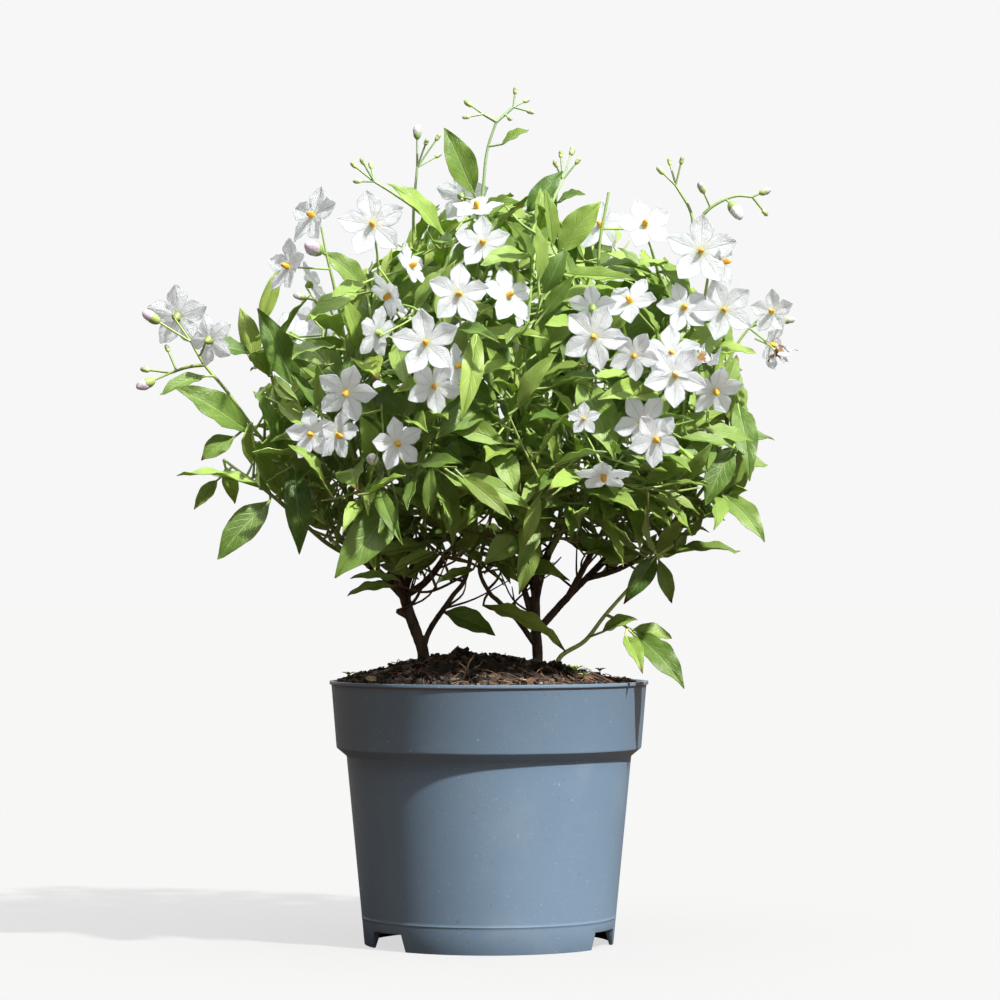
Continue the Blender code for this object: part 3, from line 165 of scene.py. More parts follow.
# Leafy shoots: the stems of each. The first grows on from the branch of the shoot's name, but the
# sucker's stands in the soil, and a side stem starts on an earlier one.
shootStems = {
    "shoot_far_left": (
        ((-90, -16, 230), (-108, -25, 254), (-123, -31, 272), (-138, -36, 293), (-149, -38, 306),
         (-156, -38, 318)),
        ((-149, -38, 306), (-158, -36, 305), (-167, -35, 302)),
        ((-90, -16, 230), (-103, -14, 262), (-113, -16, 292), (-118, -20, 320), (-117, -22, 342)),
    ),
    "shoot_low_left": (
        ((-84, -38, 212), (-102, -50, 228), (-116, -56, 240), (-130, -54, 250), (-138, -50, 256)),
    ),
    "shoot_left_high": (
        ((-69, -18, 246), (-73, -40, 284), (-75, -54, 318), (-80, -61, 345), (-84, -62, 362)),
        ((-75, -54, 318), (-84, -58, 330), (-90, -62, 338)),
        ((-73, -40, 284), (-63, -60, 318), (-57, -72, 346), (-57, -80, 360)),
    ),
    "shoot_top_left": (
        ((-41, -14, 255), (-40, -14, 300), (-39, -16, 345), (-40, -20, 385), (-38, -20, 412)),
        ((-40, -14, 300), (-31, -24, 340), (-22, -32, 370), (-36, -36, 386), (-50, -39, 396),
         (-60, -41, 402)),
    ),
    "shoot_front_left": (
        ((-65, -44, 235), (-70, -62, 256), (-74, -74, 276), (-75, -84, 298)),
        ((-65, -44, 235), (-58, -72, 244), (-52, -92, 250)),
    ),
    "shoot_front": (
        ((-22, -38, 238), (-26, -64, 264), (-27, -86, 288), (-20, -98, 310), (-14, -98, 322)),
    ),
    "shoot_back_left": (
        ((-72, 42, 245), (-86, 54, 280), (-92, 62, 312), (-92, 66, 332)),
        ((-72, 42, 245), (-100, 44, 258), (-122, 44, 270)),
    ),
    "shoot_back_middle": (
        ((-34, 52, 250), (-30, 78, 285), (-28, 90, 325), (-28, 92, 358), (-32, 76, 386)),
        ((-34, 52, 250), (-52, 84, 262), (-62, 104, 272)),
    ),
    "shoot_middle": (
        ((-12, 0, 196), (-7, -8, 225), (-6, -26, 268), (-5, -46, 308), (-5, -62, 340),
         (-6, -68, 360)),
    ),
    "shoot_top": (
        ((8, -2, 240), (3, -10, 285), (-2, -16, 335), (-5, -22, 378), (-3, -22, 400),
         (-1, -22, 420), (4, -22, 436)),
        ((4, -22, 436), (-3, -22, 440)),
        ((4, -22, 436), (13, -20, 444)),
        ((-5, -22, 378), (-12, -34, 388), (-14, -42, 393)),
    ),
    "shoot_centre": (
        ((24, -28, 240), (20, -60, 264), (18, -84, 290), (21, -84, 336), (26, -70, 373),
         (31, -54, 385), (39, -32, 404)),
    ),
    "shoot_cut": (
        ((42, -24, 250), (50, -34, 290), (57, -38, 330), (58, -38, 367), (63, -36, 397)),
        ((50, -34, 290), (52, -64, 304), (53, -88, 314)),
    ),
    "shoot_front_right": (
        ((44, -50, 230), (58, -74, 250), (68, -86, 264), (74, -88, 276)),
        ((44, -50, 230), (46, -78, 252), (49, -98, 268)),
    ),
    "shoot_back_centre": (
        ((18, 50, 245), (18, 78, 280), (22, 92, 316), (28, 92, 348), (28, 74, 380)),
        ((18, 50, 245), (30, 86, 256), (38, 108, 266)),
    ),
    "shoot_right_outer": (
        ((88, -12, 235), (106, -22, 266), (120, -28, 295), (130, -30, 316), (137, -30, 326)),
        ((106, -22, 266), (110, -42, 300), (112, -50, 335), (114, -52, 350)),
    ),
    "shoot_right_front": (
        ((72, -44, 238), (84, -64, 262), (92, -76, 280), (94, -78, 300), (88, -76, 318)),
    ),
    "shoot_right_top": (
        ((84, -2, 252), (92, -14, 292), (100, -26, 332), (106, -38, 364), (107, -42, 378),
         (105, -42, 388), (98, -41, 400)),
        ((107, -42, 378), (116, -44, 388), (128, -43, 394), (138, -41, 394)),
        ((100, -26, 332), (90, -38, 352), (85, -46, 366)),
    ),
    "shoot_far_right": (
        ((96, -20, 220), (112, -24, 240), (126, -22, 260), (136, -18, 276)),
        ((96, -20, 220), (112, -34, 226), (124, -40, 232)),
    ),
    "shoot_back_right": (
        ((74, 38, 245), (88, 52, 280), (98, 58, 312), (102, 58, 336)),
        ((74, 38, 245), (102, 46, 258), (124, 44, 268)),
    ),
    "shoot_low_front": (
        ((0, -6, 187), (-5, -16, 200), (0, -44, 222), (6, -70, 246), (10, -86, 268), (13, -94, 290)),
    ),
    "shoot_sucker": (
        ((37, -8, 132.4), (37, -8, 151), (51, -10, 161), (62, -12, 175), (78, -16, 193),
         (90, -20, 206), (100, -22, 214)),
        ((62, -12, 175), (68, -18, 172), (73, -22, 168)),
    ),
}

# Blooms by node: the shoot that bears each, its middle, the way it faces as degrees to the right
# and up, the turn of its petals in degrees, and its radius. Blooms that touch share a node.
bloomPlaces = {
    "bloom_far_left": (("shoot_far_left", (-164, -30, 332), 165, 25, 18, 17),),
    "bloom_left_of_crown": (("shoot_far_left", (-145, -54, 318), 150, 20, 0, 14),),
    "bloom_left_top": (("shoot_left_high", (-91, -62, 382), -55, 8, 18, 17),),
    "bloom_upper_left": (("shoot_left_high", (-59, -95, 374), -5, 8, 28, 18),),
    "bloom_left_edge": (("shoot_left_high", (-103, -76, 354), -62, 0, 18, 15),),
    "bloom_left_inner": (("shoot_left_high", (-92, -50, 348), 110, 30, 18, 12),),
    "bloom_nodding_left": (("shoot_left_high", (-50, -98, 338), -60, -35, 18, 14),),
    "bloom_turned_left": (("shoot_left_high", (-56, -106, 318), -130, 15, 18, 14),),
    "bloom_behind_left": (("shoot_left_high", (-40, -80, 354), 60, 25, 18, 13),),
    "bloom_front_upper_left": (("shoot_front", (-15, -125, 336), 12, 5, 12, 16),),
    "bloom_front_upper_right": (("shoot_front", (10, -113, 336), 38, 22, 18, 16),),
    "bloom_front_middle": (("shoot_front", (-31, -132, 311), -3, 5, 26, 17.5),),
    "bloom_front_lower": (("shoot_front", (-27, -126, 290), 5, -15, -10, 14.5),
                          ("shoot_front", (-16, -120, 300), 50, 10, 18, 12)),
    "bloom_top_middle": (("shoot_middle", (-3, -100, 364), 0, 15, 18, 14.5),),
    "bloom_top_upright": (("shoot_middle", (-6, -78, 384), -10, 62, 18, 14),),
    "bloom_top_turned": (("shoot_top", (-14, -8, 398), 175, 15, 18, 14.5),),
    "bloom_cut_stem": (("shoot_cut", (59, -18, 381), -15, 20, 18, 15),),
    "bloom_right_upright": (("shoot_right_top", (81, -62, 377), 8, 28, 30, 15.5),),
    "bloom_right_top": (("shoot_right_outer", (109, -77, 362), 4, 5, 15, 19),
                        ("shoot_right_outer", (121, -66, 358), 70, 0, 18, 14)),
    "bloom_right_pair": (("shoot_right_outer", (121, -75, 332), -4, 5, 38, 16.5),
                         ("shoot_right_front", (100, -74, 333), 12, 12, 30, 14)),
    "bloom_right_edge": (("shoot_right_outer", (149, -34, 334), -35, 0, 18, 12.5),
                         ("shoot_right_outer", (148, -36, 317), 55, -30, 0, 12)),
    "bloom_right_inner": (("shoot_cut", (53, -119, 315), -15, -8, -6, 17),),
    "bloom_right_raised": (("shoot_right_front", (72, -102, 334), -30, 38, 0, 15),
                           ("shoot_cut", (53, -103, 331), 170, 35, 18, 13)),
    "bloom_right_front": (("shoot_right_front", (73, -117, 306), -5, -25, -12, 13),),
    "bloom_right_double": (("shoot_right_front", (94, -112, 296), 4, 3, -20, 16.5),
                           ("shoot_right_front", (92, -109, 307), 0, 14, 18, 15.5)),
    "bloom_right_nodding": (("shoot_right_front", (116, -84, 290), 20, -45, 18, 15),),
    "bloom_small": (("shoot_front_right", (48, -118, 274), 0, 0, 18, 8.5),),
    "bloom_lower_pair": (("shoot_front_right", (78, -105, 273), -22, 5, 50, 15.5),
                         ("shoot_front_right", (84, -109, 264), 20, -12, 54, 14.5)),
    "bloom_hanging": (("shoot_front_right", (58, -110, 246), -5, -62, 18, 15),),
    "bloom_left_raised": (("shoot_front_left", (-72, -103, 288), -10, -38, 0, 16),),
    "bloom_left_pair": (("shoot_front_left", (-90, -92, 267), -18, -5, 26, 13.5),
                        ("shoot_front_left", (-77, -94, 267), 45, -25, 18, 14)),
    "bloom_left_lower": (("shoot_front_left", (-46, -112, 262), 22, -12, 32, 14),),
    "bloom_back_left": (("shoot_back_left", (-95, 84, 338), 150, 15, 18, 16),
                        ("shoot_back_left", (-110, 82, 329), -150, 5, 0, 15)),
    "bloom_back_top": (("shoot_back_middle", (-28, 112, 372), 175, 20, 18, 16),
                       ("shoot_back_middle", (-45, 112, 363), -160, 10, 40, 14)),
    "bloom_back_right": (("shoot_back_right", (104, 80, 344), 150, 15, 18, 16),
                         ("shoot_back_right", (118, 70, 332), 130, 0, 30, 14)),
}

# Buds: the shoot that bears each, its middle, and its length
budPlaces = (
    ("shoot_far_left", (-177, -40, 331), 8), ("shoot_far_left", (-169, -34, 315), 4),
    ("shoot_far_left", (-181, -30, 304), 5), ("shoot_far_left", (-180, -38, 296), 8),
    ("shoot_left_high", (-90, -74, 364), 11), ("shoot_left_high", (-98, -62, 340), 6),
    ("shoot_top_left", (-71, -38, 411), 4), ("shoot_top_left", (-66, -46, 412), 4),
    ("shoot_top_left", (-69, -42, 402), 4), ("shoot_top_left", (-62, -38, 411), 4),
    ("shoot_top_left", (-38, -19, 431), 7), ("shoot_top_left", (-33, -25, 425), 4),
    ("shoot_top_left", (-27, -20, 428), 4), ("shoot_top_left", (-27, -14, 419), 4),
    ("shoot_top", (-11, -20, 446), 5), ("shoot_top", (-12, -25, 438), 4),
    ("shoot_top", (14, -19, 453), 4), ("shoot_top", (20, -17, 448), 4),
    ("shoot_top", (22, -23, 441), 4), ("shoot_top", (11, -27, 437), 4),
    ("shoot_centre", (38, -28, 418), 4), ("shoot_centre", (44, -26, 420), 5),
    ("shoot_centre", (47, -32, 414), 4), ("shoot_centre", (35, -36, 412), 4),
    ("shoot_right_top", (90, -40, 408), 5), ("shoot_right_top", (95, -36, 413), 4),
    ("shoot_right_top", (101, -43, 413), 4), ("shoot_right_top", (111, -49, 398), 6),
    ("shoot_right_top", (129, -47, 386), 9), ("shoot_right_top", (145, -40, 397), 6),
    ("shoot_right_top", (145, -37, 386), 4), ("shoot_low_front", (14, -106, 311), 5),
    ("shoot_front_left", (-58, -109, 254), 8), ("shoot_right_outer", (158, -31, 330), 6),
    ("shoot_back_middle", (-34, 68, 398), 5), ("shoot_back_centre", (26, 66, 394), 5),
    ("shoot_back_centre", (34, 70, 390), 4), ("shoot_back_right", (106, 56, 350), 5),
)

# The largest leaves: the shoot, the foot and the tip of the blade, its width, and how far its
# upper face leans from the sky towards the front, in degrees
largeLeaves = (
    ("shoot_far_left", (-126, -36, 271), (-162, -55, 294), 19, 60),
    ("shoot_far_left", (-148, -42, 300), (-171, -52, 290), 10, 40),
    ("shoot_far_left", (-121, -24, 328), (-110, -20, 361), 9, 80),
    ("shoot_far_left", (-101, -30, 294), (-121, -36, 336), 17, 75),
    ("shoot_far_left", (-124, -18, 307), (-132, -16, 338), 12, 60),
    ("shoot_far_left", (-126, -28, 313), (-151, -38, 317), 13, 50),
    ("shoot_low_left", (-114, -58, 240), (-161, -60, 249), 11, 12),
    ("shoot_low_left", (-113, -64, 234), (-139, -76, 204), 17, 62),
    ("shoot_low_left", (-101, -62, 252), (-97, -74, 207), 15, 88),
    ("shoot_low_left", (-141, -55, 245), (-153, -56, 230), 8, 60),
    ("shoot_low_left", (-137, -52, 252), (-132, -50, 233), 9, 60),
    ("shoot_far_left", (-133, -42, 268), (-150, -46, 256), 12, 60),
    ("shoot_front_left", (-46, -95, 232), (-77, -112, 195), 22, 65),
    ("shoot_left_high", (-68, -64, 341), (-94, -76, 327), 13, 45),
    ("shoot_left_high", (-64, -48, 345), (-87, -54, 365), 14, 60),
    ("shoot_top_left", (-24, -36, 374), (-52, -47, 401), 14, 45),
    ("shoot_top", (-8, -30, 397), (-23, -36, 431), 17, 78),
    ("shoot_top", (7, -24, 424), (21, -28, 431), 9, 40),
    ("shoot_centre", (21, -94, 358), (-4, -112, 352), 13, 40),
    ("shoot_centre", (20, -48, 385), (39, -40, 408), 12, 60),
    ("shoot_centre", (36, -42, 391), (50, -50, 395), 10, 40),
    ("shoot_centre", (36, -62, 362), (58, -66, 389), 16, 68),
    ("shoot_front", (-6, -112, 318), (-13, -129, 273), 12, 85),
    ("shoot_centre", (16, -96, 300), (-4, -118, 297), 12, 28),
    ("shoot_low_front", (3, -100, 284), (-26, -124, 265), 16, 55),
    ("shoot_cut", (46, -92, 296), (64, -118, 255), 20, 72),
    ("shoot_front_right", (50, -88, 238), (76, -108, 229), 14, 40),
    ("shoot_far_right", (131, -32, 286), (136, -55, 246), 14, 84),
    ("shoot_far_right", (122, -42, 238), (143, -60, 214), 14, 60),
    ("shoot_right_outer", (121, -14, 267), (152, -12, 269), 12, 30),
    ("shoot_far_right", (124, -26, 254), (147, -28, 254), 13, 45),
    ("shoot_low_front", (-3, -10, 180), (41, -32, 158), 13, 35),
    ("shoot_middle", (-24, 6, 176), (4, 12, 164), 14, 60),
    ("shoot_front", (-30, -106, 226), (-29, -112, 252), 8, 85),
    ("shoot_sucker", (94, -22, 207), (132, -32, 209), 12, 25),
    ("shoot_sucker", (60, -16, 166), (78, -22, 173), 11, 40),
    ("shoot_sucker", (75, -26, 166), (102, -46, 138), 16, 60),
    ("shoot_sucker", (76, -22, 167), (97, -20, 163), 12, 45),
    ("shoot_sucker", (72, -30, 164), (80, -52, 146), 10, 60),
    ("shoot_sucker", (88, -28, 206), (71, -34, 181), 12, 70),
    ("shoot_sucker", (90, -18, 204), (97, -18, 181), 9, 75),
)


# A direction square to way, turned about it.
def across(way, turn=0.0):
    side = way.cross(skyward) if abs(way.z) < 0.95 * way.length else way.cross(Vector((1, 0, 0)))
    return Matrix.Rotation(turn, 3, way.normalized()) @ side.normalized()


# Where the eye sees a place on the plane through the pot's axis.
def seenFromFront(place):
    eye = crown["eye"]
    nearness = -eye.y / (place.y - eye.y)
    return eye.x + (place.x - eye.x) * nearness, eye.z + (place.z - eye.z) * nearness


def insideOutline(x, z):
    inside = False
    for (x1, z1), (x2, z2) in zip(crown["outline"], crown["outline"][1:] + crown["outline"][:1]):
        if (z1 > z) != (z2 > z) and x < x1 + (x2 - x1) * (z - z1) / (z2 - z1):
            inside = not inside
    return inside


# The direction so many degrees to the right of the front, and up.
def facing(right, up):
    right, up = math.radians(right), math.radians(up)
    return Vector((math.sin(right) * math.cos(up), -math.cos(right) * math.cos(up), math.sin(up)))


# The top of the soil: a low mound left of the middle, with lumps, that ends at the rim.
def soilHeight(x, y):
    spread = math.exp(-((x - soilSizes["moundX"]) ** 2 + y * y) / soilSizes["moundSpread"]**2)
    lumps = math.sin(0.23 * x + 1.3) * math.cos(0.19 * y) + math.sin(0.11 * x - 0.27 * y)
    fade = 1 - min(1, math.hypot(x, y) / soilSizes["radius"]) ** 4
    return soilSizes["edge"] + (soilSizes["moundHeight"] * spread + soilSizes["lump"] * lumps) * fade


# Places are planned first, as plain records, so that every piece is clear of the others.


# The corners of the box round the points.
def boxRound(points):
    return [min(p[i] for p in points) for i in range(3)], [max(p[i] for p in points) for i in range(3)]


# What stands where, with a rough hull of each piece that later ones keep clear of.
class Plan:
    def __init__(self):
        self.taken = []
        self.stems = {}
        self.stalks = []
        self.leaves = []

    def take(self, owner, points, faces, kind):
        self.taken.append((owner, kind, BVHTree.FromPolygons(points, faces), *boxRound(points)))

    # The pieces that this hull meets, leaving out those that skip says yes to.
    def clashes(self, points, faces, skip=lambda owner, kind: False):
        low, high = boxRound(points)
        tree = BVHTree.FromPolygons(points, faces)
        for owner, kind, other, low2, high2 in self.taken:
            if any(low[i] > high2[i] or high[i] < low2[i] for i in range(3)):
                continue
            if not skip(owner, kind) and tree.overlap(other):
                yield owner, kind


# Four-sided faces between rings of points that follow one another.
def ringFaces(rings, sides):
    faces = []
    for ring in range(rings - 1):
        for k in range(sides):
            a, b = ring * sides + k, ring * sides + (k + 1) % sides
            faces.append((a, b, b + sides, a + sides))
    return faces


# A rough four-sided tube round a line of points.
def tubeHull(points, radii):
    sides, corners = 4, []
    for i, place in enumerate(points):
        way = points[min(i + 1, len(points) - 1)] - points[max(i - 1, 0)]
        corners += [place + across(way, math.tau * k / sides) * radii[i] for k in range(sides)]
    return corners, ringFaces(len(points), sides)


# The blade from foot to tip, the direction across it, and its normal.
def leafFrame(leaf):
    axis = leaf["tip"] - leaf["base"]
    side = axis.cross(leaf["up"]).normalized()
    return axis, side, side.cross(axis).normalized()


# The leaf's crosswise rows from root to tip, as (left, right), its middle, its tip and its normal.
def leafRows(leaf, grow=0.0):
    root, base, width = leaf["root"], leaf["base"], leaf["width"]
    axis, side, normal = leafFrame(leaf)
    stalkSide = (base - root).cross(leaf["up"]).normalized()
    if stalkSide.dot(side) < 0:
        stalkSide = -stalkSide
    blade, middle = [], None
    for reach, share in leaf["stations"]:
        place = base + axis * reach + normal * leaf["arch"] * axis.length * 4 * reach * (1 - reach)
        spread = side * (width / 2 * share * math.cos(leaf["fold"]) + grow)
        lift = normal * width / 2 * share * math.sin(leaf["fold"])
        sway = normal * leaf["twist"] * width * share
        blade.append((place - spread + lift - sway, place + spread + lift + sway))
        middle = middle or place
    half, rootHalf = growth["petioleWidth"] / 2, growth["rootWidth"] / 2 + grow
    if not leaf["stalked"]:
        share = (base - root).length / (middle - root).length
        base, half = root.lerp(middle, share), width / 2 * share
    rows = [(root - stalkSide * rootHalf, root + stalkSide * rootHalf),
            (base - side * (half + grow), base + side * (half + grow))]
    return rows + blade, middle, leaf["tip"] + axis.normalized() * grow, normal


# A closed hull: a rim thickened by the offset both ways, its two sides closed over the peaks.
def slab(rim, offset, peaks):
    count = len(rim)
    points = [p + offset for p in rim] + [p - offset for p in rim] + list(peaks)
    faces = [(i, (i + 1) % count, (i + 1) % count + count, i + count) for i in range(count)]
    faces += [(i, (i + 1) % count, 2 * count) for i in range(count)]
    faces += [(i + count, (i + 1) % count + count, 2 * count + 1) for i in range(count)]
    return points, faces


# A closed hull round the blade, or with stalk round the petiole, with room to spare.
def leafHull(leaf, stalk):
    room = growth["room"]
    rows, middle, tip, normal = leafRows(leaf, room)
    if stalk:
        start = min(0.9, growth["stalkStart"] / (rows[1][0] - rows[0][0]).length)
        near = [rows[0][i].lerp(rows[1][i], start) for i in (0, 1)]
        rim = [near[0], rows[1][0], rows[1][1], near[1]]
        middle = (rim[0] + rim[2]) / 2
        normal = (rim[3] - rim[0]).cross(rim[1] - rim[0]).normalized()
    else:
        rim = [left for left, _ in rows[1:]] + [tip] + [right for _, right in reversed(rows[1:])]
    return slab(rim, normal * room, (middle + normal * room, middle - normal * room))


# The bloom's middle, the way it faces, and its two cross directions turned with its petals.
def bloomFrame(bloom):
    place, right, up, turn = Vector(bloom[1]), bloom[2], bloom[3], math.radians(bloom[4])
    ahead = facing(right, up)
    flat = Vector((math.cos(math.radians(right)), math.sin(math.radians(right)), 0))
    rise = ahead.cross(flat)
    return place, ahead, flat * math.cos(turn) + rise * math.sin(turn), (
        rise * math.cos(turn) - flat * math.sin(turn))


# One petal's notch before it, its two shoulders and its tip.
def petalPoints(bloom, k):
    place, ahead, flat, rise = bloomFrame(bloom)
    points = []
    for reach, degrees, lift in ((0.34, -36, 0), (0.62, -28, 0.07), (0.62, 28, 0.07), (1.0, 0, 0.02)):
        angle = math.radians(72 * k + degrees)
        outward = flat * math.cos(angle) + rise * math.sin(angle)
        points.append(place + outward * reach * bloom[5] + ahead * lift * bloom[5])
    return points


# A rough closed star, thickened by room both ways, with a spike for its cone.
def bloomHull(bloom, room):
    place, ahead, _, _ = bloomFrame(bloom)
    rim = []
    for k in range(5):
        notch, left, right, tip = petalPoints(bloom, k)
        rim += [notch, left, tip, right]
    return slab(rim, ahead * room, (place + ahead * (growth["coneLength"] + 2), place - ahead * room))


# The middle of the end face of the branch that a shoot grows on from, and the way it points.
def woodEnd(shoot):
    for branches in woodBranches.values():
        if shoot.removeprefix("shoot_") in branches:
            *_, before, last = (Vector(knot[:3]) for knot in branches[shoot.removeprefix("shoot_")])
            return last, (last - before).normalized()


# The shoots' stems as lines with radii. A shoot starts a hair off the end of its wood.
def planStems(plan):
    for shoot, stems in shootStems.items():
        lines, wood = [], woodEnd(shoot)
        for index, stem in enumerate(stems):
            line = [Vector(knot) for knot in stem]
            if index == 0 and wood:
                end, way = wood
                line = [end + way * gap, end + way * 5] + line
            thin = growth["stemTipRadius"]
            thick = growth["stemRadius"] if index == 0 else thin
            radii = [thick + (thin - thick) * i / (len(line) - 1) for i in range(len(line))]
            lines.append((line, radii))
        plan.stems[shoot] = lines
        for line, radii in lines:
            for a in range(len(line) - 1):
                plan.take(shoot, *tubeHull(line[a:a + 2], radii[a:a + 2]), "stem")


def planWood(plan):
    for tree, branches in woodBranches.items():
        for knots in branches.values():
            line = [Vector(knot[:3]) for knot in knots]
            plan.take(tree, *tubeHull(line, [knot[3] for knot in knots]), "wood")


# The pot's outside and the soil's top, as rings.
def planPot(plan):
    sides, points = 24, []
    wall = ((potSizes["footRadius"], 0), (potSizes["wallTopRadius"], potSizes["stepBottom"]),
            (potSizes["lipRadius"], potSizes["height"]))
    rings = wall + tuple((radius, None) for radius in (soilSizes["radius"],) + soilSizes["rings"][::-1])
    for radius, height in rings:
        for k in range(sides):
            x, y = radius * math.cos(math.tau * k / sides), radius * math.sin(math.tau * k / sides)
            points.append(Vector((x, y, soilHeight(x, y) if height is None else height)))
    plan.take("pot", points, ringFaces(len(rings), sides), "pot")


# The point of the shoot's stems that a stalk from place, leaving along way, comes from.
def nearestOnStems(plan, shoot, place, way):
    best, least = None, 1e9
    for line, _ in plan.stems[shoot]:
        for a, b in zip(line, line[1:]):
            steps = max(1, int((b - a).length / 3))
            for i in range(1, steps + 1):
                spot = a.lerp(b, i / steps)
                cost = (spot - place).length * (1.6 - (spot - place).normalized().dot(way))
                if cost < least:
                    best, least = spot, cost
    return best


# A flower stalk from the shoot's stem to a calyx or a bud, bent clear of other pieces.
def planStalk(plan, shoot, place, way, kind, size):
    root = nearestOnStems(plan, shoot, place, way)
    neck = place + way * (growth["calyxLength"] if kind == "bloom" else size * 0.5)
    span = (root - neck).length
    best, fewest = None, None
    for attempt in range(growth["tries"]):
        bend = across(root - neck, growth["bendTurn"] * attempt) * span * growth["bendStep"] * attempt
        middle = neck.lerp(root, growth["bendPlace"]) + bend
        nearRoot = middle.lerp(root, max(0.1, 1 - growth["rootClearance"] / (root - middle).length))
        hull = tubeHull([neck, middle, nearRoot], [growth["stalkRadius"] + growth["room"] * 0.7] * 3)
        met = len(list(plan.clashes(*hull, lambda owner, kind: owner == shoot)))
        if fewest is None or met < fewest:
            best, fewest = [place, neck, middle, root] if attempt else [place, neck, root], met
        if not met:
            break
    plan.stalks.append((shoot, kind, best, size, way))
    plan.take(shoot, *tubeHull(best, [growth["stalkRadius"]] * len(best)), "stalk")


def planBlooms(plan):
    for node, blooms in bloomPlaces.items():
        for bloom in blooms:
            plan.take(node, *bloomHull(bloom, 0.6), "bloom")
    for blooms in bloomPlaces.values():
        for bloom in blooms:
            place, ahead, _, _ = bloomFrame(bloom)
            back = place - ahead * (growth["bloomThickness"] / 2 + gap)
            planStalk(plan, bloom[0], back, -ahead, "bloom", growth["calyxRadius"])


def planBuds(plan):
    for shoot, spot, length in budPlaces:
        place = Vector(spot)
        root = nearestOnStems(plan, shoot, place, Vector((0, 0, 0)))
        planStalk(plan, shoot, place, (root - place).normalized(), "bud", length)


def leafIsClear(plan, leaf):
    if any(plan.clashes(*leafHull(leaf, False))):
        return False
    own = ("stem", "stalk", "leaf")
    return not any(plan.clashes(*leafHull(leaf, True),
                                lambda owner, kind: owner == leaf["shoot"] and kind in own))


def addLeaf(plan, leaf):
    plan.leaves.append(leaf)
    rows, _, tip, _ = leafRows(leaf)
    points = [p for row in rows for p in row] + [tip]
    faces = [(i, i + 1, i + 3, i + 2) for i in range(0, len(points) - 3, 2)]
    faces.append((len(points) - 3, len(points) - 2, len(points) - 1))
    plan.take(leaf["shoot"], points, faces, "leaf")


# Each large leaf is moved in depth, not across the view, until it is clear.
def planLargeLeaves(plan, places):
    for shoot, base, tip, width, lean in places:
        for attempt in range(growth["tries"]):
            shift = Vector((0, (attempt + 1) // 2 * 1.5 * (-1) ** attempt, 0))
            foot, end = Vector(base) + shift, Vector(tip) + shift * 1.3
            root = nearestOnStems(plan, shoot, foot, (foot - end).normalized())
            angle = math.radians(lean + 3 * (attempt % 3))
            leaf = {
                "shoot": shoot, "root": root, "base": foot, "tip": end, "width": width,
                "up": Vector((0.15, -math.sin(angle), math.cos(angle))), "arch": growth["largeLeafArch"],
                "fold": growth["largeLeafFold"], "twist": 0.0, "stations": growth["largeStations"],
                "stalked": True,
            }
            if leafIsClear(plan, leaf):
                addLeaf(plan, leaf)
                break
        else:
            print("no room for the large leaf at", base, "on", shoot)


# The blooms in front, as the eye sees them: x, z, depth and radius.
seenBlooms = [(*seenFromFront(Vector(bloom[1])), bloom[1][1], bloom[5])
              for blooms in bloomPlaces.values() for bloom in blooms if bloom[1][1] < 0]


# Whether one of the places stands before a bloom, within a share of its radius.
def hidesABloom(places, share):
    for place in places:
        x, z = seenFromFront(place)
        if any(place.y < depth and math.hypot(x - x2, z - z2) < radius * share
               for x2, z2, depth, radius in seenBlooms):
            return True
    return False


def insideCrown(place, margin=0):
    away = place - crown["middle"]
    return sum((away[i] / (crown["half"][i] - margin)) ** 2 for i in range(3)) < 1


# Whether the leaf keeps inside the crown and before no bloom.
def suitsCrown(leaf):
    rows, middle, tip, _ = leafRows(leaf)
    return all(insideCrown(place) and insideOutline(*seenFromFront(place)) for place in (tip, middle)) and (
        not hidesABloom((leaf["base"], middle, tip, *rows[-1]), growth["bloomShare"]))


# One leaf at a spot on a stem, turned round it and shortened until it fits.
def planLeafAt(plan, shoot, spot, along, index):
    chance = random.Random(f"{shoot} {index}")
    outward = spot - crown["middle"]
    outward.z *= growth["flatten"]
    outward.normalize()
    length, petiole = chance.uniform(*growth["leafLength"]), chance.uniform(*growth["petioleLength"])
    droop = chance.uniform(0, growth["leafDroop"])
    tilt = chance.uniform(-growth["leafTilt"], growth["leafTilt"])
    for attempt in range(growth["tries"]):
        ring = across(along, growth["goldenTurn"] * index + growth["retryTurn"] * attempt)
        way = ring + along * growth["along"] + outward * growth["outward"] + skyward * growth["rise"]
        way.normalize()
        size = length * (1 - growth["retryShrink"] * attempt)
        base = spot + way * petiole + skyward * petiole * 0.1
        leaf = {
            "shoot": shoot, "root": spot, "base": base,
            "tip": base + way * size - skyward * droop * size,
            "width": size * chance.uniform(*growth["leafShare"]),
            "up": (skyward + outward * growth["faceOutward"] + across(way) * tilt).normalized(),
            "arch": 0.05 + droop * 0.1, "fold": chance.uniform(*growth["leafFold"]),
            "twist": chance.uniform(-growth["leafTwist"], growth["leafTwist"]),
            "stations": growth["smallStations"], "stalked": False,
        }
        if suitsCrown(leaf) and leafIsClear(plan, leaf):
            addLeaf(plan, leaf)
            return


# Places along a line with its direction there, the first so far on, then a step apart.
def spotsAlong(line, reach, step):
    for a, b in zip(line, line[1:]):
        length = (b - a).length
        while reach < length:
            spot = a.lerp(b, reach / length)
            yield spot, (b - a).normalized()
            reach += step(spot)
        reach -= length


# Leaves along every stem, a golden turn apart, but not on the thin ends that bear buds.
def planSmallLeaves(plan):
    spacing = growth["leafSpacing"]
    for shoot, lines in plan.stems.items():
        index = 0
        for line, _ in lines:
            for spot, along in spotsAlong(line, spacing * 0.8, lambda spot: spacing):
                if spot.z > growth["lowestLeaf"]:
                    planLeafAt(plan, shoot, spot, along, index)
                index += 1


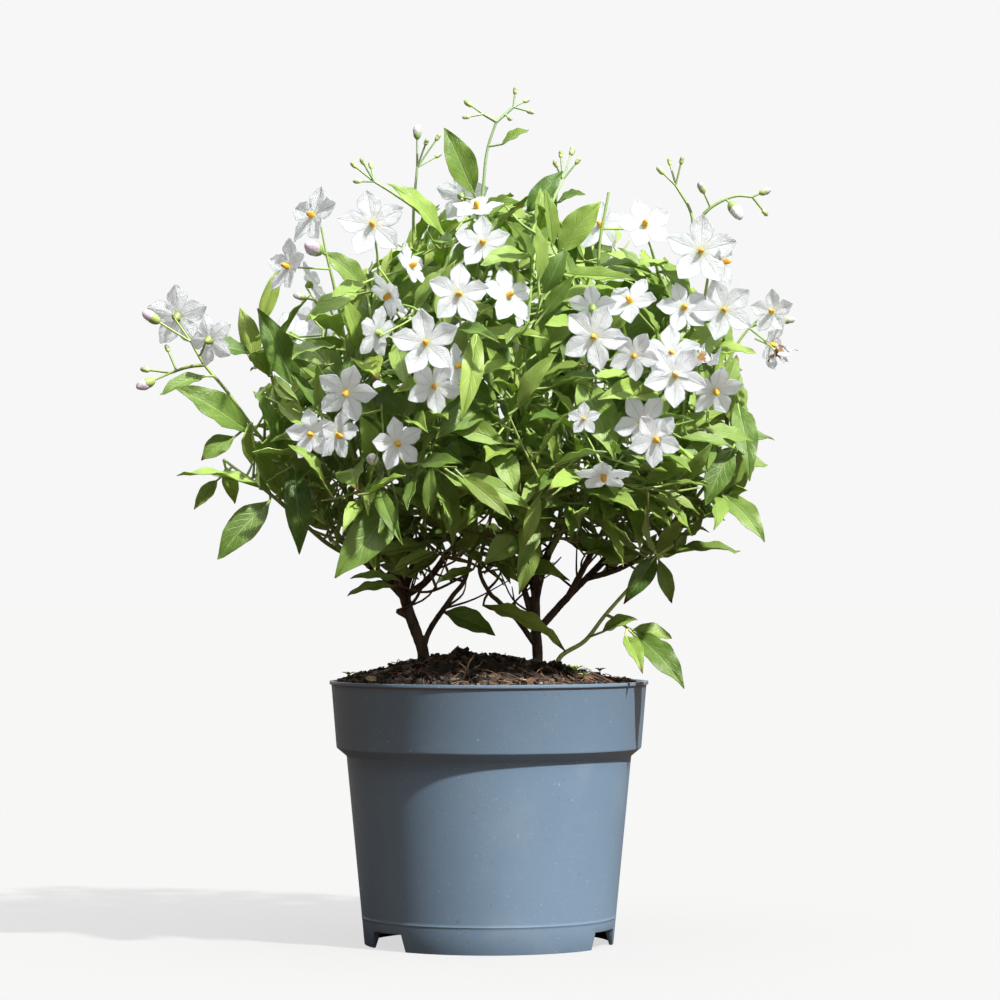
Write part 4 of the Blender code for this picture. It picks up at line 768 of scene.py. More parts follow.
def makePlan():
    made = Plan()
    planPot(made)
    planWood(made)
    planStems(made)
    planBlooms(made)
    planBuds(made)
    planLargeLeaves(made, largeLeaves)
    planSmallLeaves(made)
    return made


# What the finer leaves add to the planned ones: more of them, closer together.
foliage = {
    "room": 0.45,
    "spacing": 13.5,
    "length": (26, 54),
    "share": (0.25, 0.37),
    "rise": ((180, 0.1), (250, 0.22), (320, 0.4), (400, 0.8)),
    "sizeAt": ((190, 0.62), (250, 0.8), (310, 1.0)),
    "riseSpread": 0.5,
    "faceOut": (0.1, 1.1),
    "faceSkyward": 0.6,
    "flatten": 0.4,
    "frontward": 0.35,
    "ring": 0.9,
    "along": 0.3,
    "outward": 0.35,
    "petioleRing": 0.7,
    "tilt": 0.6,
    "droop": 0.22,
    "arch": (0.0, 0.12),
    "fold": (0.05, 0.5),
    "twist": 0.17,
    "bloomShare": 0.9,
    "lowest": 201.0,
    "thickness": 0.3,
    "petioleRadius": 0.6,
    "midribReach": 0.62,
    "midribDrop": 0.25,
    "rows": 10,
    "columns": 4,
    "kinds": 6,
    "twigEvery": 28.0,
    "skirtTop": 270.0,
    "skirtFade": 40.0,
    "twigLength": (20, 38),
    "twigChoices": 9,
    "twigForward": (0.3, 0.9),
    "twigSag": 0.35,
    "twigRise": 0.25,
    "twigMargin": 14,
    "twigRadius": 0.7,
    "twigSpacing": 8.5,
    "openings": ((-90, 332, 14), (-50, 379, 7), (46, 390, 9), (81, 374, 8), (66, 363, 8),
                 (-121, 296, 6), (137, 298, 9), (-5, 178, 14), (24, 176, 12), (-2, 226, 7),
                 (38, 206, 9), (-18, 196, 11), (50, 200, 8)),
}

# Twigs and leaves that the photograph shows where the shoots leave gaps, as in the lists above.
addedTwigs = (
    ("shoot_middle", ((-12, 0, 196), (-32, -28, 187), (-49, -52, 191))),
    ("shoot_low_front", ((-5, -16, 200), (-14, -34, 204), (-28, -52, 207))),
    ("shoot_front", ((-26, -66, 266), (-34, -88, 254), (-40, -106, 250), (-44, -118, 254))),
    ("shoot_front_left", ((-55, -82, 247), (-62, -98, 238), (-66, -110, 236))),
    ("shoot_front_right", ((47, -85, 257), (34, -100, 246), (24, -112, 242))),
    ("shoot_front_right", ((58, -74, 250), (74, -94, 240), (84, -104, 240))),
    ("shoot_right_top", ((92, -14, 292), (88, 14, 318), (84, 30, 345))),
    ("shoot_top", ((-2, -16, 335), (-4, 14, 356), (-6, 34, 372))),
    ("shoot_cut", ((57, -38, 330), (54, -2, 346), (52, 24, 362))),
    ("shoot_top_left", ((-39, -16, 345), (-44, 14, 358), (-48, 32, 368))),
)
addedLeaves = (
    ("shoot_middle", (-49, -54, 190), (-73, -63, 186), 9, 30),
    ("shoot_middle", (-46, -52, 193), (-71, -66, 195), 8, 35),
    ("shoot_low_front", (-27, -56, 208), (-50, -64, 198), 8, 40),
    ("shoot_low_front", (-31, -54, 211), (-59, -70, 206), 10, 45),
    ("shoot_low_front", (-8, -46, 199), (-27, -58, 192), 7, 40),
    ("shoot_low_front", (14, -80, 215), (-2, -90, 202), 14, 70),
    ("shoot_centre", (24, -62, 219), (16, -66, 186), 12, 85),
    ("shoot_right_outer", (109, -62, 311), (138, -70, 311), 11, 40),
    ("shoot_far_right", (118, -58, 265), (95, -76, 240), 17, 55),
    ("shoot_far_right", (127, -50, 262), (112, -60, 232), 15, 50),
    ("shoot_far_left", (-108, -48, 256), (-120, -54, 291), 15, 25),
    ("shoot_low_front", (2, -104, 262), (14, -118, 236), 14, 60),
)


# Whether the leaf stands in an opening where the photograph shows the light behind the crown.
def fillsAnOpening(leaf):
    for place in (leaf["base"], leaf["tip"], (leaf["base"] + leaf["tip"]) / 2):
        x, z = seenFromFront(place)
        if any(math.hypot(x - x2, z - z2) < reach for x2, z2, reach in foliage["openings"]):
            return True
    return False


def addTwig(plan, shoot, twig, shares):
    radii = [foliage["twigRadius"] * share for share in shares]
    plan.stems[shoot].append((twig, radii))
    plan.take(shoot, *tubeHull(twig, radii), "stem")


# From 0 in the crown to 1 in its skirt, where twigs stand closer and hang.
def lowness(spot):
    return max(0, min(1, (foliage["skirtTop"] - spot.z) / foliage["skirtFade"]))


# The middle and the end of the twig from this spot that ends farthest from what is filled.
def roomiestTwig(plan, spot, along, chance, filled):
    low, choices = lowness(spot), []
    for attempt in range(foliage["twigChoices"]):
        forward = along * chance.uniform(*foliage["twigForward"]) * (1 - low)
        way = (across(along, growth["goldenTurn"] * attempt) + forward - skyward * foliage["twigSag"] * low)
        way, span = way.normalized(), chance.uniform(*foliage["twigLength"])
        middle = spot + way * span * 0.5
        end = spot + way * span + skyward * span * chance.uniform(0, foliage["twigRise"])
        if end.z < foliage["lowest"] or not insideCrown(end, foliage["twigMargin"]) or (
                not insideOutline(*seenFromFront(end))) or hidesABloom((middle, end), foliage["bloomShare"]):
            continue
        hull = tubeHull([spot + way * 3, middle, end], [foliage["twigRadius"] + 0.8] * 3)
        if not any(plan.clashes(*hull)):
            choices.append((min((end - place).length for place in filled), len(choices), middle, end))
    return max(choices)[2:] if choices else None


# Short side twigs that reach from the stems into the emptiest places near them.
def planTwigs(plan):
    growth["room"] = foliage["room"]
    for shoot, knots in addedTwigs:
        addTwig(plan, shoot, [Vector(knot) for knot in knots], [1.1] * (len(knots) - 1) + [0.8])
    planLargeLeaves(plan, addedLeaves)
    filled = [(leaf["base"] + leaf["tip"]) / 2 for leaf in plan.leaves]
    every = foliage["twigEvery"]
    for shoot, lines in plan.stems.items():
        chance = random.Random(f"{shoot} twigs")
        for line, _ in list(lines):
            for spot, along in spotsAlong(line, every * 0.5, lambda spot: every * (1 - 0.5 * lowness(spot))):
                found = roomiestTwig(plan, spot, along, chance, filled)
                if found:
                    addTwig(plan, shoot, [spot, *found], (1.2, 1.0, 0.8))
                    filled += found


# One more leaf at a spot: low ones hang, high ones stand, and all turn their faces outwards.
def planFinerLeaf(plan, shoot, spot, along, index):
    chance = random.Random(f"{shoot} extra {index}")
    outward = spot - crown["middle"]
    outward.z *= foliage["flatten"]
    outward = (outward.normalized() + Vector((0, -foliage["frontward"], 0))).normalized()
    length, petiole = chance.uniform(*foliage["length"]), chance.uniform(*growth["petioleLength"])
    rise = float(np.interp(spot.z, *zip(*foliage["rise"]))) + chance.gauss(0, 1) * foliage["riseSpread"]
    length *= float(np.interp(spot.z, *zip(*foliage["sizeAt"])))
    tilt, droop = chance.uniform(-foliage["tilt"], foliage["tilt"]), chance.uniform(0, foliage["droop"])
    for attempt in range(growth["tries"]):
        ring = across(along, growth["goldenTurn"] * index + growth["retryTurn"] * attempt)
        way = ring * foliage["ring"] + along * foliage["along"] + outward * foliage["outward"]
        way = (way + skyward * rise).normalized()
        size = length * (1 - growth["retryShrink"] * attempt)
        base = spot + (ring * foliage["petioleRing"] + way).normalized() * petiole
        width, out = size * chance.uniform(*foliage["share"]), chance.uniform(*foliage["faceOut"])
        up = skyward * foliage["faceSkyward"] + outward * out + across(way) * tilt
        leaf = {
            "shoot": shoot, "root": spot, "base": base, "tip": base + way * size - skyward * droop * size,
            "width": width, "up": up.normalized(),
            "arch": chance.uniform(*foliage["arch"]), "fold": chance.uniform(*foliage["fold"]),
            "twist": chance.uniform(-foliage["twist"], foliage["twist"]),
            "stations": growth["smallStations"], "stalked": False,
        }
        if suitsCrown(leaf) and not fillsAnOpening(leaf) and leafIsClear(plan, leaf):
            addLeaf(plan, leaf)
            return


# More leaves on every stem and twig, with the clear room that thin leaves need.
def planExtraLeaves(plan):
    for shoot, lines in plan.stems.items():
        index = 0
        for line, radii in lines:
            spacing = foliage["twigSpacing" if radii[-1] < foliage["twigRadius"] else "spacing"]
            for spot, along in spotsAlong(line, spacing * 0.5, lambda spot: spacing):
                if spot.z > foliage["lowest"]:
                    planFinerLeaf(plan, shoot, spot, along, index)
                index += 1
    dropBareTwigs(plan)


# Twigs on which no leaf found room are taken out again.
def dropBareTwigs(plan):
    for shoot, lines in plan.stems.items():
        roots = [leaf["root"] for leaf in plan.leaves if leaf["shoot"] == shoot]
        plan.stems[shoot] = [(line, radii) for line, radii in lines if radii[-1] >= foliage["twigRadius"]
                             or any(liesOn(root, line) for root in roots)]


def liesOn(spot, line):
    for a, b in zip(line, line[1:]):
        nearest, share = intersect_point_line(spot, a, b)
        if -0.01 <= share <= 1.01 and (nearest - spot).length < 0.05:
            return True
    return False


# Small tools for modelling and for node trees.


def deselect():
    if bpy.context.object and bpy.context.object.mode != "OBJECT":
        bpy.ops.object.mode_set(mode="OBJECT")
    bpy.ops.object.select_all(action="DESELECT")


def makeActive(obj):
    deselect()
    obj.select_set(True)
    bpy.context.view_layer.objects.active = obj


# In edit mode, selects just the vertices whose place passes the test, and counts them.
def selectWhere(obj, test):
    bpy.ops.object.mode_set(mode="OBJECT")
    for part in (*obj.data.polygons, *obj.data.edges):
        part.select = False
    found = 0
    for vert in obj.data.vertices:
        vert.select = bool(test(vert.co))
        found += vert.select
    bpy.ops.object.mode_set(mode="EDIT")
    bpy.ops.mesh.select_mode(type="VERT")
    return found


# A test for the vertices of a model's crosswise row at x.
def inRow(x):
    return lambda co: abs(co.x - x) < 0.001


# A test for every other of ten corners round the axis, above a height.
def onSpokesAbove(height):
    return lambda co: co.z > height * mm and round(math.degrees(math.atan2(co.y, co.x)) / 36) % 2 == 0


def applyModifier(obj, kind, **values):
    makeActive(obj)
    modifier = obj.modifiers.new(kind.lower(), kind)
    for name, value in values.items():
        setattr(modifier, name, value)
    bpy.ops.object.modifier_apply(modifier=modifier.name)


def thicken(obj, thickness, **more):
    applyModifier(obj, "SOLIDIFY", thickness=thickness * mm, offset=0, **more)


def joined(name, objects):
    deselect()
    for obj in objects:
        obj.select_set(True)
    bpy.context.view_layer.objects.active = objects[0]
    if len(objects) > 1:
        bpy.ops.object.join()
    objects[0].name = objects[0].data.name = name
    return objects[0]


# A copy of a model with its own mesh, its vertices put where place(n x 3 array) says.
def copyOf(model, name, place):
    obj = model.copy()
    obj.data = model.data.copy()
    obj.name = obj.data.name = name
    bpy.context.scene.collection.objects.link(obj)
    points = np.empty(len(obj.data.vertices) * 3)
    obj.data.vertices.foreach_get("co", points)
    obj.data.vertices.foreach_set("co", np.ascontiguousarray(place(points.reshape(-1, 3))).ravel())
    obj.data.update()
    return obj


# A tone for every vertex, or one for the whole piece, kept as an attribute that its material reads.
def paint(obj, values):
    attribute = obj.data.attributes.get("tone") or obj.data.attributes.new("tone", "FLOAT_COLOR", "POINT")
    colours = np.broadcast_to(np.array(values, dtype=np.float32), (len(obj.data.vertices), 3))
    attribute.data.foreach_set("color", np.insert(colours, 3, 1.0, axis=1).ravel())


def dropModels(*models):
    for model in models:
        bpy.data.objects.remove(model)


# Smooths the piece, rides it on the frame, and hides the CAD nodes that it stands for. Its slot name is not
# used.
def settle(obj, degrees, slotName, *nodes):
    makeActive(obj)
    bpy.ops.object.shade_smooth_by_angle(angle=math.radians(degrees))
    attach(obj, "root")
    if nodes:
        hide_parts(*nodes)
    return obj


# A smooth line through the knots, so many steps between each two of them.
def smoothLine(knots, steps=5):
    line = []
    for i in range(len(knots) - 1):
        before = knots[i - 1] if i else knots[0] * 2 - knots[1]
        after = knots[i + 2] if i + 2 < len(knots) else knots[-1] * 2 - knots[-2]
        a, b = knots[i], knots[i + 1]
        for k in range(steps):
            t = k / steps
            line.append(((b - before) * t + (before * 2 - a * 5 + b * 4 - after) * t * t
                         + (a * 3 - before - b * 3 + after) * t ** 3) / 2 + a)
    return line + [knots[-1]]


# Tubes along lines of points with radii, as one curve made a mesh.
def tubes(name, lines, sides, *materials):
    curve = bpy.data.curves.new(name, "CURVE")
    curve.dimensions = "3D"
    curve.bevel_depth = mm
    curve.bevel_resolution = max(0, (sides - 4) // 2)
    curve.use_fill_caps = True
    for line, radii in lines:
        spline = curve.splines.new("POLY")
        spline.points.add(len(line) - 1)
        for point, place, radius in zip(spline.points, line, radii):
            point.co = (*(place * mm), 1)
            point.radius = radius
    obj = bpy.data.objects.new(name, curve)
    bpy.context.scene.collection.objects.link(obj)
    makeActive(obj)
    bpy.ops.object.convert(target="MESH")
    obj = bpy.context.object
    for material in materials:
        obj.data.materials.append(material)
    return obj


def spread(radii, count):
    return list(np.interp(np.linspace(0, 1, count), np.linspace(0, 1, len(radii)), radii))


# Radii that shrink evenly along a line of so many points.
def tapered(radius, count, first, loss):
    return [radius * (first - loss * k / count) for k in range(count)]


def newMaterial(name):
    material = bpy.data.materials.new(name)
    material.use_nodes = True
    return material, material.node_tree, material.node_tree.nodes["Principled BSDF"]


def newGroup(name, inputs, outputs):
    group = bpy.data.node_groups.new(name, "ShaderNodeTree")
    kinds = {"colour": "NodeSocketColor", "number": "NodeSocketFloat", "vector": "NodeSocketVector"}
    for socket, kind, value in inputs:
        made = group.interface.new_socket(socket, in_out="INPUT", socket_type=kinds[kind])
        if value is not None:
            made.default_value = value
    for socket, kind in outputs:
        group.interface.new_socket(socket, in_out="OUTPUT", socket_type=kinds[kind])
    return group, group.nodes.new("NodeGroupInput").outputs, group.nodes.new("NodeGroupOutput")


# Links a socket to another one, or sets it to a value.
def feed(tree, socket, value):
    if isinstance(value, bpy.types.NodeSocket):
        tree.links.new(value, socket)
    else:
        socket.default_value = value


def connect(tree, node, sockets):
    for name, value in sockets.items():
        feed(tree, node.inputs[name], value)


# A node with its settings and its inputs, each by its name or as i0, i1 and so on.
def addNode(tree, kind, settings=None, **inputs):
    node = tree.nodes.new(kind)
    for name, value in (settings or {}).items():
        setattr(node, name, value)
    for name, value in inputs.items():
        numbered = name[0] == "i" and name[1:].isdigit()
        feed(tree, node.inputs[int(name[1:]) if numbered else name], value)
    return node


def mathNode(tree, operation, *values, clamp=False):
    node = addNode(tree, "ShaderNodeMath", {"operation": operation, "use_clamp": clamp})
    for socket, value in zip(node.inputs, values):
        feed(tree, socket, value)
    return node.outputs[0]


def times(tree, a, b):
    return mathNode(tree, "MULTIPLY", a, b)


def mixColour(tree, share, a, b):
    return addNode(tree, "ShaderNodeMix", {"data_type": "RGBA"}, i0=share, i6=a, i7=b).outputs[2]


# A number stretched from one range to another, held inside it.
def between(tree, value, low, high, toLow=0.0, toHigh=1.0):
    return addNode(tree, "ShaderNodeMapRange", {"interpolation_type": "SMOOTHSTEP"},
                   i0=value, i1=low, i2=high, i3=toLow, i4=toHigh).outputs[0]


def noiseOf(tree, vector, scale, detail=3.0, rough=0.55):
    return addNode(tree, "ShaderNodeTexNoise", Vector=vector, Scale=scale, Detail=detail,
                   Roughness=rough).outputs["Fac"]


def scaled(tree, vector, scale):
    return addNode(tree, "ShaderNodeVectorMath", {"operation": "SCALE"}, i0=vector, Scale=scale).outputs[0]


def mapped(tree, vector, **values):
    return addNode(tree, "ShaderNodeMapping", Vector=vector, **values).outputs[0]


def axesOf(tree, vector):
    return addNode(tree, "ShaderNodeSeparateXYZ", i0=vector).outputs


# The three values of the piece's tone.
def toneOf(tree):
    tone = addNode(tree, "ShaderNodeAttribute", {"attribute_name": "tone"})
    return addNode(tree, "ShaderNodeSeparateColor", i0=tone.outputs["Color"]).outputs


def coordinate(tree, kind="Object"):
    return tree.nodes.new("ShaderNodeTexCoord").outputs[kind]


def bump(tree, height, strength, distance):
    return addNode(tree, "ShaderNodeBump", Height=height, Strength=strength, Distance=distance).outputs[0]


# Node groups: an effect that more than one material uses.


# Fine dirt and pale specks on a surface.
def makeDustGroup():
    group, ends, out = newGroup("dust", (
        ("Base", "colour", None), ("Dust", "colour", (0.55, 0.5, 0.42, 1)), ("Amount", "number", 0.3),
        ("Scale", "number", 1.0), ("Coordinate", "vector", None)), (("Colour", "colour"), ("Mask", "number")))
    place = scaled(group, ends["Coordinate"], ends["Scale"])
    cloudy = between(group, noiseOf(group, place, 45, 5), 0.5, 0.85)
    grains = between(group, noiseOf(group, place, 900, 2), 0.6, 0.72)
    both = mathNode(group, "ADD", times(group, cloudy, 0.5), grains)
    both = mathNode(group, "MULTIPLY", both, ends["Amount"], clamp=True)
    connect(group, out, {"Colour": mixColour(group, both, ends["Base"], ends["Dust"]), "Mask": both})
    return group


# A colour that drifts between light and dark, in patches and in grain.
def makeMottleGroup():
    group, ends, out = newGroup("mottle", (
        ("Light", "colour", None), ("Dark", "colour", None), ("Patches", "number", 60.0),
        ("Grain", "number", 900.0), ("Coordinate", "vector", None)),
        (("Colour", "colour"), ("Mask", "number")))
    patches = noiseOf(group, scaled(group, ends["Coordinate"], ends["Patches"]), 1, 4)
    grain = noiseOf(group, scaled(group, ends["Coordinate"], ends["Grain"]), 1, 3)
    mask = mathNode(group, "ADD", times(group, between(group, patches, 0.35, 0.65), 0.65),
                    times(group, grain, 0.35), clamp=True)
    connect(group, out, {"Colour": mixColour(group, mask, ends["Light"], ends["Dark"]), "Mask": mask})
    return group


# Veins on the unwrapped leaf or petal, u from foot to tip and v across it.
def makeVeinGroup():
    group, ends, out = newGroup("veins", (
        ("Pairs", "number", 8.0), ("Slant", "number", 0.3), ("Width", "number", 0.12),
        ("UV", "vector", None)), (("Midrib", "number"), ("Veins", "number")))
    along, sideways, _ = axesOf(group, ends["UV"])
    off = times(group, mathNode(group, "ABSOLUTE", mathNode(group, "SUBTRACT", sideways, 0.5)), 2.0)
    wobble = times(group, noiseOf(group, ends["UV"], 5, 2), 0.05)
    lean = times(group, mathNode(group, "POWER", off, 0.8), ends["Slant"])
    stripe = mathNode(group, "ADD", mathNode(group, "SUBTRACT", along, lean), wobble)
    stripe = mathNode(group, "FRACT", times(group, stripe, ends["Pairs"]))
    near = mathNode(group, "ABSOLUTE", mathNode(group, "SUBTRACT", stripe, 0.5))
    line = between(group, near, 0.0, ends["Width"], 1.0, 0.0)
    fade = between(group, off, 0.55, 1.0, 1.0, 0.15)
    midrib = between(group, off, 0.02, 0.1, 1.0, 0.0)
    connect(group, out, {"Midrib": midrib, "Veins": times(group, line, fade)})
    return group


# Fine streaks along an unwrapped petal, and its thin rim.
def makeStreakGroup():
    group, ends, out = newGroup("streaks", (("Count", "number", 30.0), ("UV", "vector", None)),
                                (("Streaks", "number"), ("Edge", "number")))
    along, sideways, _ = axesOf(group, ends["UV"])
    off = times(group, mathNode(group, "SUBTRACT", sideways, 0.5), 2.0)
    place = addNode(group, "ShaderNodeCombineXYZ", i0=times(group, along, 2.5),
                    i1=times(group, off, ends["Count"])).outputs[0]
    streaks = between(group, noiseOf(group, place, 1.0, 2.0), 0.52, 0.66)
    edge = between(group, mathNode(group, "ABSOLUTE", off), 0.88, 0.99)
    connect(group, out, {"Streaks": streaks, "Edge": edge})
    return group


dustGroup, mottleGroup, veinGroup = makeDustGroup(), makeMottleGroup(), makeVeinGroup()
streakGroup = makeStreakGroup()


def useGroup(tree, group, **inputs):
    return addNode(tree, "ShaderNodeGroup", {"node_tree": group}, **inputs)


# The mottle group between two colours of a look.
def mottled(tree, light, dark, patches, grain, place):
    return useGroup(tree, mottleGroup, Light=light, Dark=dark, Patches=patches, Grain=grain,
                    Coordinate=place).outputs


# Light that comes through thin leaves and petals.
def shineThrough(tree, principled, colour, normal, share):
    through = addNode(tree, "ShaderNodeBsdfTranslucent", Color=colour, Normal=normal)
    mix = addNode(tree, "ShaderNodeMixShader", i0=share, i1=principled.outputs[0], i2=through.outputs[0])
    tree.links.new(mix.outputs[0], tree.nodes["Material Output"].inputs["Surface"])


leafLook = {
    "dark": (0.045, 0.11, 0.02, 1),
    "light": (0.4, 0.56, 0.125, 1),
    "yellow": (0.44, 0.5, 0.1, 1),
    "under": (0.34, 0.46, 0.19, 1),
    "vein": (0.42, 0.56, 0.2, 1),
    "through": (0.56, 0.8, 0.11, 1),
    "brown": (0.16, 0.08, 0.025, 1),
    "roughness": (0.29, 0.46),
    "underRoughness": 0.2,
    "throughShare": 0.29,
    "patchShare": 0.22,
    "underShare": 0.6,
    "veinShare": 0.42,
    "tip": (0.86, 0.97),
}


# Leaf green: dark to light by each leaf's own tone, with veins; its underside is paler and duller.
def leafMaterial(name, underside):
    material, tree, principled = newMaterial(name)
    bright, yellow, brown = toneOf(tree)
    uv, place = coordinate(tree, "UV"), coordinate(tree)
    veins = useGroup(tree, veinGroup, Pairs=8.0, Slant=0.3, Width=0.14, UV=uv)
    patches = mottled(tree, leafLook["light"], leafLook["dark"], 110.0, 1500.0, place)
    green = mixColour(tree, bright, leafLook["dark"], leafLook["light"])
    green = mixColour(tree, leafLook["patchShare"], green, patches["Colour"])
    green = mixColour(tree, yellow, green, leafLook["yellow"])
    if underside:
        green = mixColour(tree, leafLook["underShare"], green, leafLook["under"])
    lines = mathNode(tree, "MAXIMUM", veins.outputs["Midrib"], times(tree, veins.outputs["Veins"], 0.45))
    green = mixColour(tree, times(tree, lines, leafLook["veinShare"]), green, leafLook["vein"])
    tipness = times(tree, between(tree, axesOf(tree, uv)[0], *leafLook["tip"]), brown)
    green = mixColour(tree, tipness, green, leafLook["brown"])
    smoothest, roughest = (value + leafLook["underRoughness"] * underside for value in leafLook["roughness"])
    relief = mathNode(tree, "ADD", times(tree, lines, 0.6 if underside else -0.6),
                      times(tree, noiseOf(tree, uv, 22, 3), 0.7))
    normal = bump(tree, relief, 0.55, 0.0007)
    connect(tree, principled, {
        "Base Color": green, "Normal": normal, "Specular IOR Level": 0.3 if underside else 0.45,
        "Roughness": between(tree, noiseOf(tree, place, 400), 0.3, 0.7, smoothest, roughest)})
    glow = mixColour(tree, times(tree, lines, 0.3), leafLook["through"], leafLook["light"])
    glow = mixColour(tree, tipness, glow, leafLook["brown"])
    shineThrough(tree, principled, glow, normal, leafLook["throughShare"])
    return material


stemLook = {
    "light": (0.34, 0.46, 0.13, 1),
    "dark": (0.16, 0.27, 0.06, 1),
    "ripe": (0.1, 0.06, 0.035, 1),
    # Yellow-green for the sucker's stems: partly their young colour, partly painted sunlight on stems that
    # stand in the crown's shade.
    "freshAndPaintedSun": (0.62, 0.74, 0.26, 1),
    "high": (0.31, 0.43, 0.24, 1),
    "highFrom": 0.375,
    "highTo": 0.415,
    "roughness": 0.45,
}


# Green stems: paler high up, brown where the tone says so, and yellow-green where the tone says so, which on
# the sucker is partly its young colour and partly painted sunlight.
def stemMaterial():
    material, tree, principled = newMaterial("green stem")
    _, freshAndPaintedSun, ripe = toneOf(tree)
    place = coordinate(tree)
    look = mottled(tree, stemLook["light"], stemLook["dark"], 60.0, 400.0, place)
    colour = mixColour(tree, 0.6, stemLook["light"], look["Colour"])
    high = between(tree, axesOf(tree, place)[2], stemLook["highFrom"], stemLook["highTo"], 0.0, 0.8)
    for share, other in ((high, "high"), (freshAndPaintedSun, "freshAndPaintedSun"), (ripe, "ripe")):
        colour = mixColour(tree, share, colour, stemLook[other])
    connect(tree, principled, {"Base Color": colour, "Roughness": stemLook["roughness"],
                               "Normal": bump(tree, look["Mask"], 0.15, 0.0003)})
    return material


petalLook = {
    "white": (0.87, 0.885, 0.91, 1),
    "shade": (0.56, 0.61, 0.62, 1),
    "edge": (0.4, 0.45, 0.5, 1),
    "throat": (0.66, 0.72, 0.36, 1),
    "blush": (0.62, 0.47, 0.62, 1),
    "green": (0.3, 0.42, 0.14, 1),
    "through": (0.88, 0.9, 0.93, 1),
    "roughness": 0.5,
    "throughShare": 0.5,
    # The glow values are a painted glow: an emission of the petal's own colour that brightens petals and buds
    # in shade.
    "glow": 0.3,
    "budThrough": 0.2,
    "budPaintedGlow": 0.05,
    "lineShare": 0.8,
    "edgeShare": 0.85,
    "throatReach": (0.06, 0.26),
    "throatShare": 0.75,
}


# White petals with grey-green lines and a greenish throat, given a painted glow that brightens them in shade;
# a bud's tone says its blush and green.
def petalMaterial(name, bud):
    material, tree, principled = newMaterial(name)
    uv, place = coordinate(tree, "UV"), coordinate(tree)
    veins = useGroup(tree, veinGroup, Pairs=11.0, Slant=0.45, Width=0.3, UV=uv).outputs
    streaks = useGroup(tree, streakGroup, Count=34.0, UV=uv).outputs
    look = mottled(tree, petalLook["white"], petalLook["shade"], 160.0, 1200.0, place)
    colour = mixColour(tree, 0.25, petalLook["white"], look["Colour"])
    lines = mathNode(tree, "MAXIMUM", times(tree, veins["Midrib"], 0.8), times(tree, veins["Veins"], 0.35))
    lines = mathNode(tree, "MAXIMUM", lines, times(tree, streaks["Streaks"], 0.6))
    if bud:
        blush, green, _ = toneOf(tree)
        colour = mixColour(tree, blush, colour, petalLook["blush"])
        colour = mixColour(tree, green, colour, petalLook["green"])
        relief = noiseOf(tree, place, 500, 4)
    else:
        colour = mixColour(tree, times(tree, lines, petalLook["lineShare"]), colour, petalLook["shade"])
        colour = mixColour(tree, times(tree, streaks["Edge"], petalLook["edgeShare"]), colour,
                           petalLook["edge"])
        throat = between(tree, axesOf(tree, uv)[0], *petalLook["throatReach"], petalLook["throatShare"], 0.0)
        colour = mixColour(tree, throat, colour, petalLook["throat"])
        relief = mathNode(tree, "ADD", times(tree, lines, -0.6), noiseOf(tree, uv, 9, 5))
    normal = bump(tree, relief, 0.7, 0.001)
    connect(tree, principled, {
        "Base Color": colour, "Normal": normal, "Roughness": petalLook["roughness"],
        "Emission Color": colour,  # painted glow, standing in for light scattered inside the petal
        "Emission Strength": petalLook["budPaintedGlow" if bud else "glow"]})
    glow = mixColour(tree, times(tree, lines, 0.6), petalLook["through"], petalLook["shade"])
    shineThrough(tree, principled, glow, normal, petalLook["budThrough" if bud else "throughShare"])
    return material


# A mottled, bumpy, dull finish with its own two colours: soil, bark, stones, anthers.
def roughMaterial(name, light, dark, patches, grain, roughness, relief, stretch=1.0):
    material, tree, principled = newMaterial(name)
    place = coordinate(tree)
    if stretch != 1.0:
        place = mapped(tree, place, Scale=(1, 1, stretch))
    look = mottled(tree, (*light, 1), (*dark, 1), patches, grain, place)
    rough = between(tree, look["Mask"], 0.2, 0.9, roughness, min(1, roughness + 0.12))
    connect(tree, principled, {"Base Color": look["Colour"], "Roughness": rough,
                               "Normal": bump(tree, look["Mask"], 0.7, relief)})
    return material


potLook = {
    "colour": (0.135, 0.208, 0.295, 1),
    "worn": (0.165, 0.238, 0.32, 1),
    "dust": (0.45, 0.46, 0.45, 1),
    # This brown serves for real soil at the rim and the foot, and for the painted shade under the lip.
    "soilDustAndLipShade": (0.12, 0.07, 0.045, 1),
    "speck": (0.2, 0.1, 0.065, 1),
    "roughness": (0.37, 0.5),
    "scratchShare": 0.12,
    "speckShare": 0.5,
    "foot": (0.0, 0.02),
    "rim": (0.128, 0.14),
    # A thin painted shade line under the lip, where its overhang casts shade: its height and half-width in
    # metres, then its share.
    "underLipShadeLine": (0.1374, 0.0011),
    "underLipShadeShare": 0.55,
}
